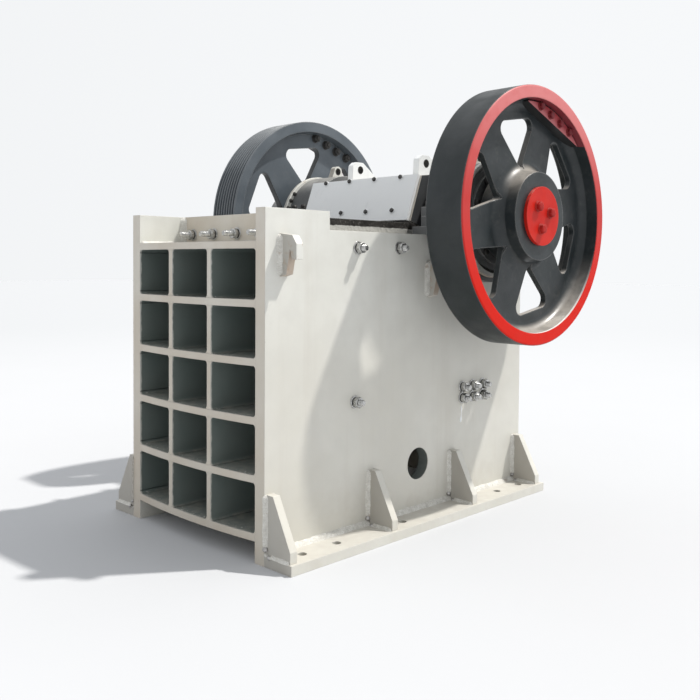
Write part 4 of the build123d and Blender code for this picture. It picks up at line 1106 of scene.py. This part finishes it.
# Coil spring round the tension rod, with play at the rod's washer
COIL_TURNS, COIL_STEPS, COIL_SIDES = 6, 28, 10
COIL_WIRE, COIL_RADIUS = 0.009, 0.070
COIL_PLAY = 0.0135
coil_height = (spring_low.z + spring_high.z) / 2
coil_length = spring_high.x - spring_low.x - COIL_PLAY
rings = []
for i in range(COIL_TURNS * COIL_STEPS + 1):
    angle = 2 * math.pi * i / COIL_STEPS
    share = i / (COIL_TURNS * COIL_STEPS)
    x = spring_low.x + COIL_WIRE + (coil_length - 2 * COIL_WIRE) * share
    outward = Vector((0, math.cos(angle), math.sin(angle)))
    ring = []
    for j in range(COIL_SIDES):
        around = 2 * math.pi * j / COIL_SIDES
        offset = PLUS_X * math.sin(around) + outward * math.cos(around)
        ring.append(Vector((x, 0, coil_height)) + outward * COIL_RADIUS + offset * COIL_WIRE)
    rings.append(ring)
parts = Parts()
parts.skin(rings)
coil = parts.piece("tension_spring_coil", dark)
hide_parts("tension_spring")

# Camera fitted to the photograph, from the near corner of the frame
CAMERA_BACK, CAMERA_OUT, CAMERA_HEIGHT = 2.4832, 2.9569, 1.3853
CAMERA_YAW = math.radians(45.756)
CAMERA_PITCH = math.radians(-1.915)
CAMERA_ROLL = math.radians(0.392)
FOCAL_PIXELS = 847.73
PHOTO_SIZE = 700
AXIS_PIXEL_Y = 293.54
SENSOR_MM = 36.0
level = math.cos(CAMERA_PITCH)
forward = Vector((math.sin(CAMERA_YAW) * level, math.cos(CAMERA_YAW) * level, math.sin(CAMERA_PITCH)))
right = forward.cross(PLUS_Z).normalized()
up = right.cross(forward)
image_right = right * math.cos(CAMERA_ROLL) + up * math.sin(CAMERA_ROLL)
image_up = up * math.cos(CAMERA_ROLL) - right * math.sin(CAMERA_ROLL)
camera_data = bpy.data.cameras.new("photo_camera")
camera_data.sensor_width = SENSOR_MM
camera_data.lens = FOCAL_PIXELS * SENSOR_MM / PHOTO_SIZE
camera_data.shift_y = (AXIS_PIXEL_Y - PHOTO_SIZE / 2) / PHOTO_SIZE
camera = bpy.data.objects.new("photo_camera", camera_data)
place = Vector((FRONT_X - CAMERA_BACK, -OUTER_Y - CAMERA_OUT, CAMERA_HEIGHT))
turn = Matrix((image_right, image_up, -forward)).transposed().to_4x4()
camera.matrix_world = Matrix.Translation(place) @ turn
bpy.context.collection.objects.link(camera)
bpy.context.scene.camera = camera

# Pale floor that takes the tone of the sky with distance
FLOOR_REACH = 60.0
FLOOR_TONES = ((0.535, 0.545, 0.565), (0.55, 0.56, 0.58))
FAR_TONES = ((0.416, 0.426, 0.442), (0.515, 0.527, 0.546))
FAR_DISTANCES = (3.5, 16.0)
SKY_LEAN = (0.09, 0.02, 0.0)
LEAN_LIMITS = (-0.092, 0.092)


def floor_paint():
    coat = Finish("pale_floor")
    distance = coat.distance(coat.x, coat.y)
    toward = coat.plus(coat.times(coat.x, SKY_LEAN[0]), coat.times(coat.y, SKY_LEAN[1]))
    lean = coat.math("DIVIDE", toward, distance)
    near = coat.mix(coat.noise(scale=0.8, detail=3.0), *FLOOR_TONES)
    far = coat.mix(coat.band(lean, LEAN_LIMITS), *FAR_TONES)
    colour = coat.mix(coat.band(distance, FAR_DISTANCES), near, far)
    normal = coat.bump(coat.noise(scale=90.0, detail=3.0), strength=0.03, distance=0.002)
    return coat.shaded(colour, roughness=0.9, normal=normal, specular=0.0)


corners = [(x * FLOOR_REACH, y * FLOOR_REACH, 0) for x, y in ((-1, -1), (1, -1), (1, 1), (-1, 1))]
floor_mesh = bpy.data.meshes.new("floor")
floor_mesh.from_pydata(corners, [], [(0, 1, 2, 3)])
floor_mesh.materials.append(floor_paint())
floor = bpy.data.objects.new("floor", floor_mesh)
bpy.context.collection.objects.link(floor)

# Soft sky, a little brighter to one side
SKY_TONE = (0.97, 0.985, 1.0, 1)
SKY_STRENGTH = 0.87
world = bpy.data.worlds.new("studio")
world.use_nodes = True
sky = world.node_tree
direction = sky.nodes.new("ShaderNodeTexCoord")
weighing = sky.nodes.new("ShaderNodeVectorMath")
weighing.operation = "DOT_PRODUCT"
weighing.inputs[1].default_value = SKY_LEAN
strength = sky.nodes.new("ShaderNodeMath")
strength.operation = "ADD"
strength.inputs[1].default_value = SKY_STRENGTH
sky.links.new(direction.outputs["Generated"], weighing.inputs[0])
sky.links.new(weighing.outputs["Value"], strength.inputs[0])
sky.nodes["Background"].inputs["Color"].default_value = SKY_TONE
sky.links.new(strength.outputs[0], sky.nodes["Background"].inputs["Strength"])
bpy.context.scene.world = world

# Sun high to the right of the camera
SUN_TRAVEL = Vector((-0.434, 0.310, -0.846))
SUN_ENERGY = 3.6
SUN_TONE = (1.0, 0.97, 0.92)
SUN_ANGLE = math.radians(2)
sun_data = bpy.data.lights.new("key_light", "SUN")
sun_data.energy = SUN_ENERGY
sun_data.color = SUN_TONE
sun_data.angle = SUN_ANGLE
sun = bpy.data.objects.new("key_light", sun_data)
sun.rotation_euler = SUN_TRAVEL.to_track_quat("-Z", "Y").to_euler()
bpy.context.collection.objects.link(sun)
bpy.context.scene.view_settings.view_transform = "Standard"
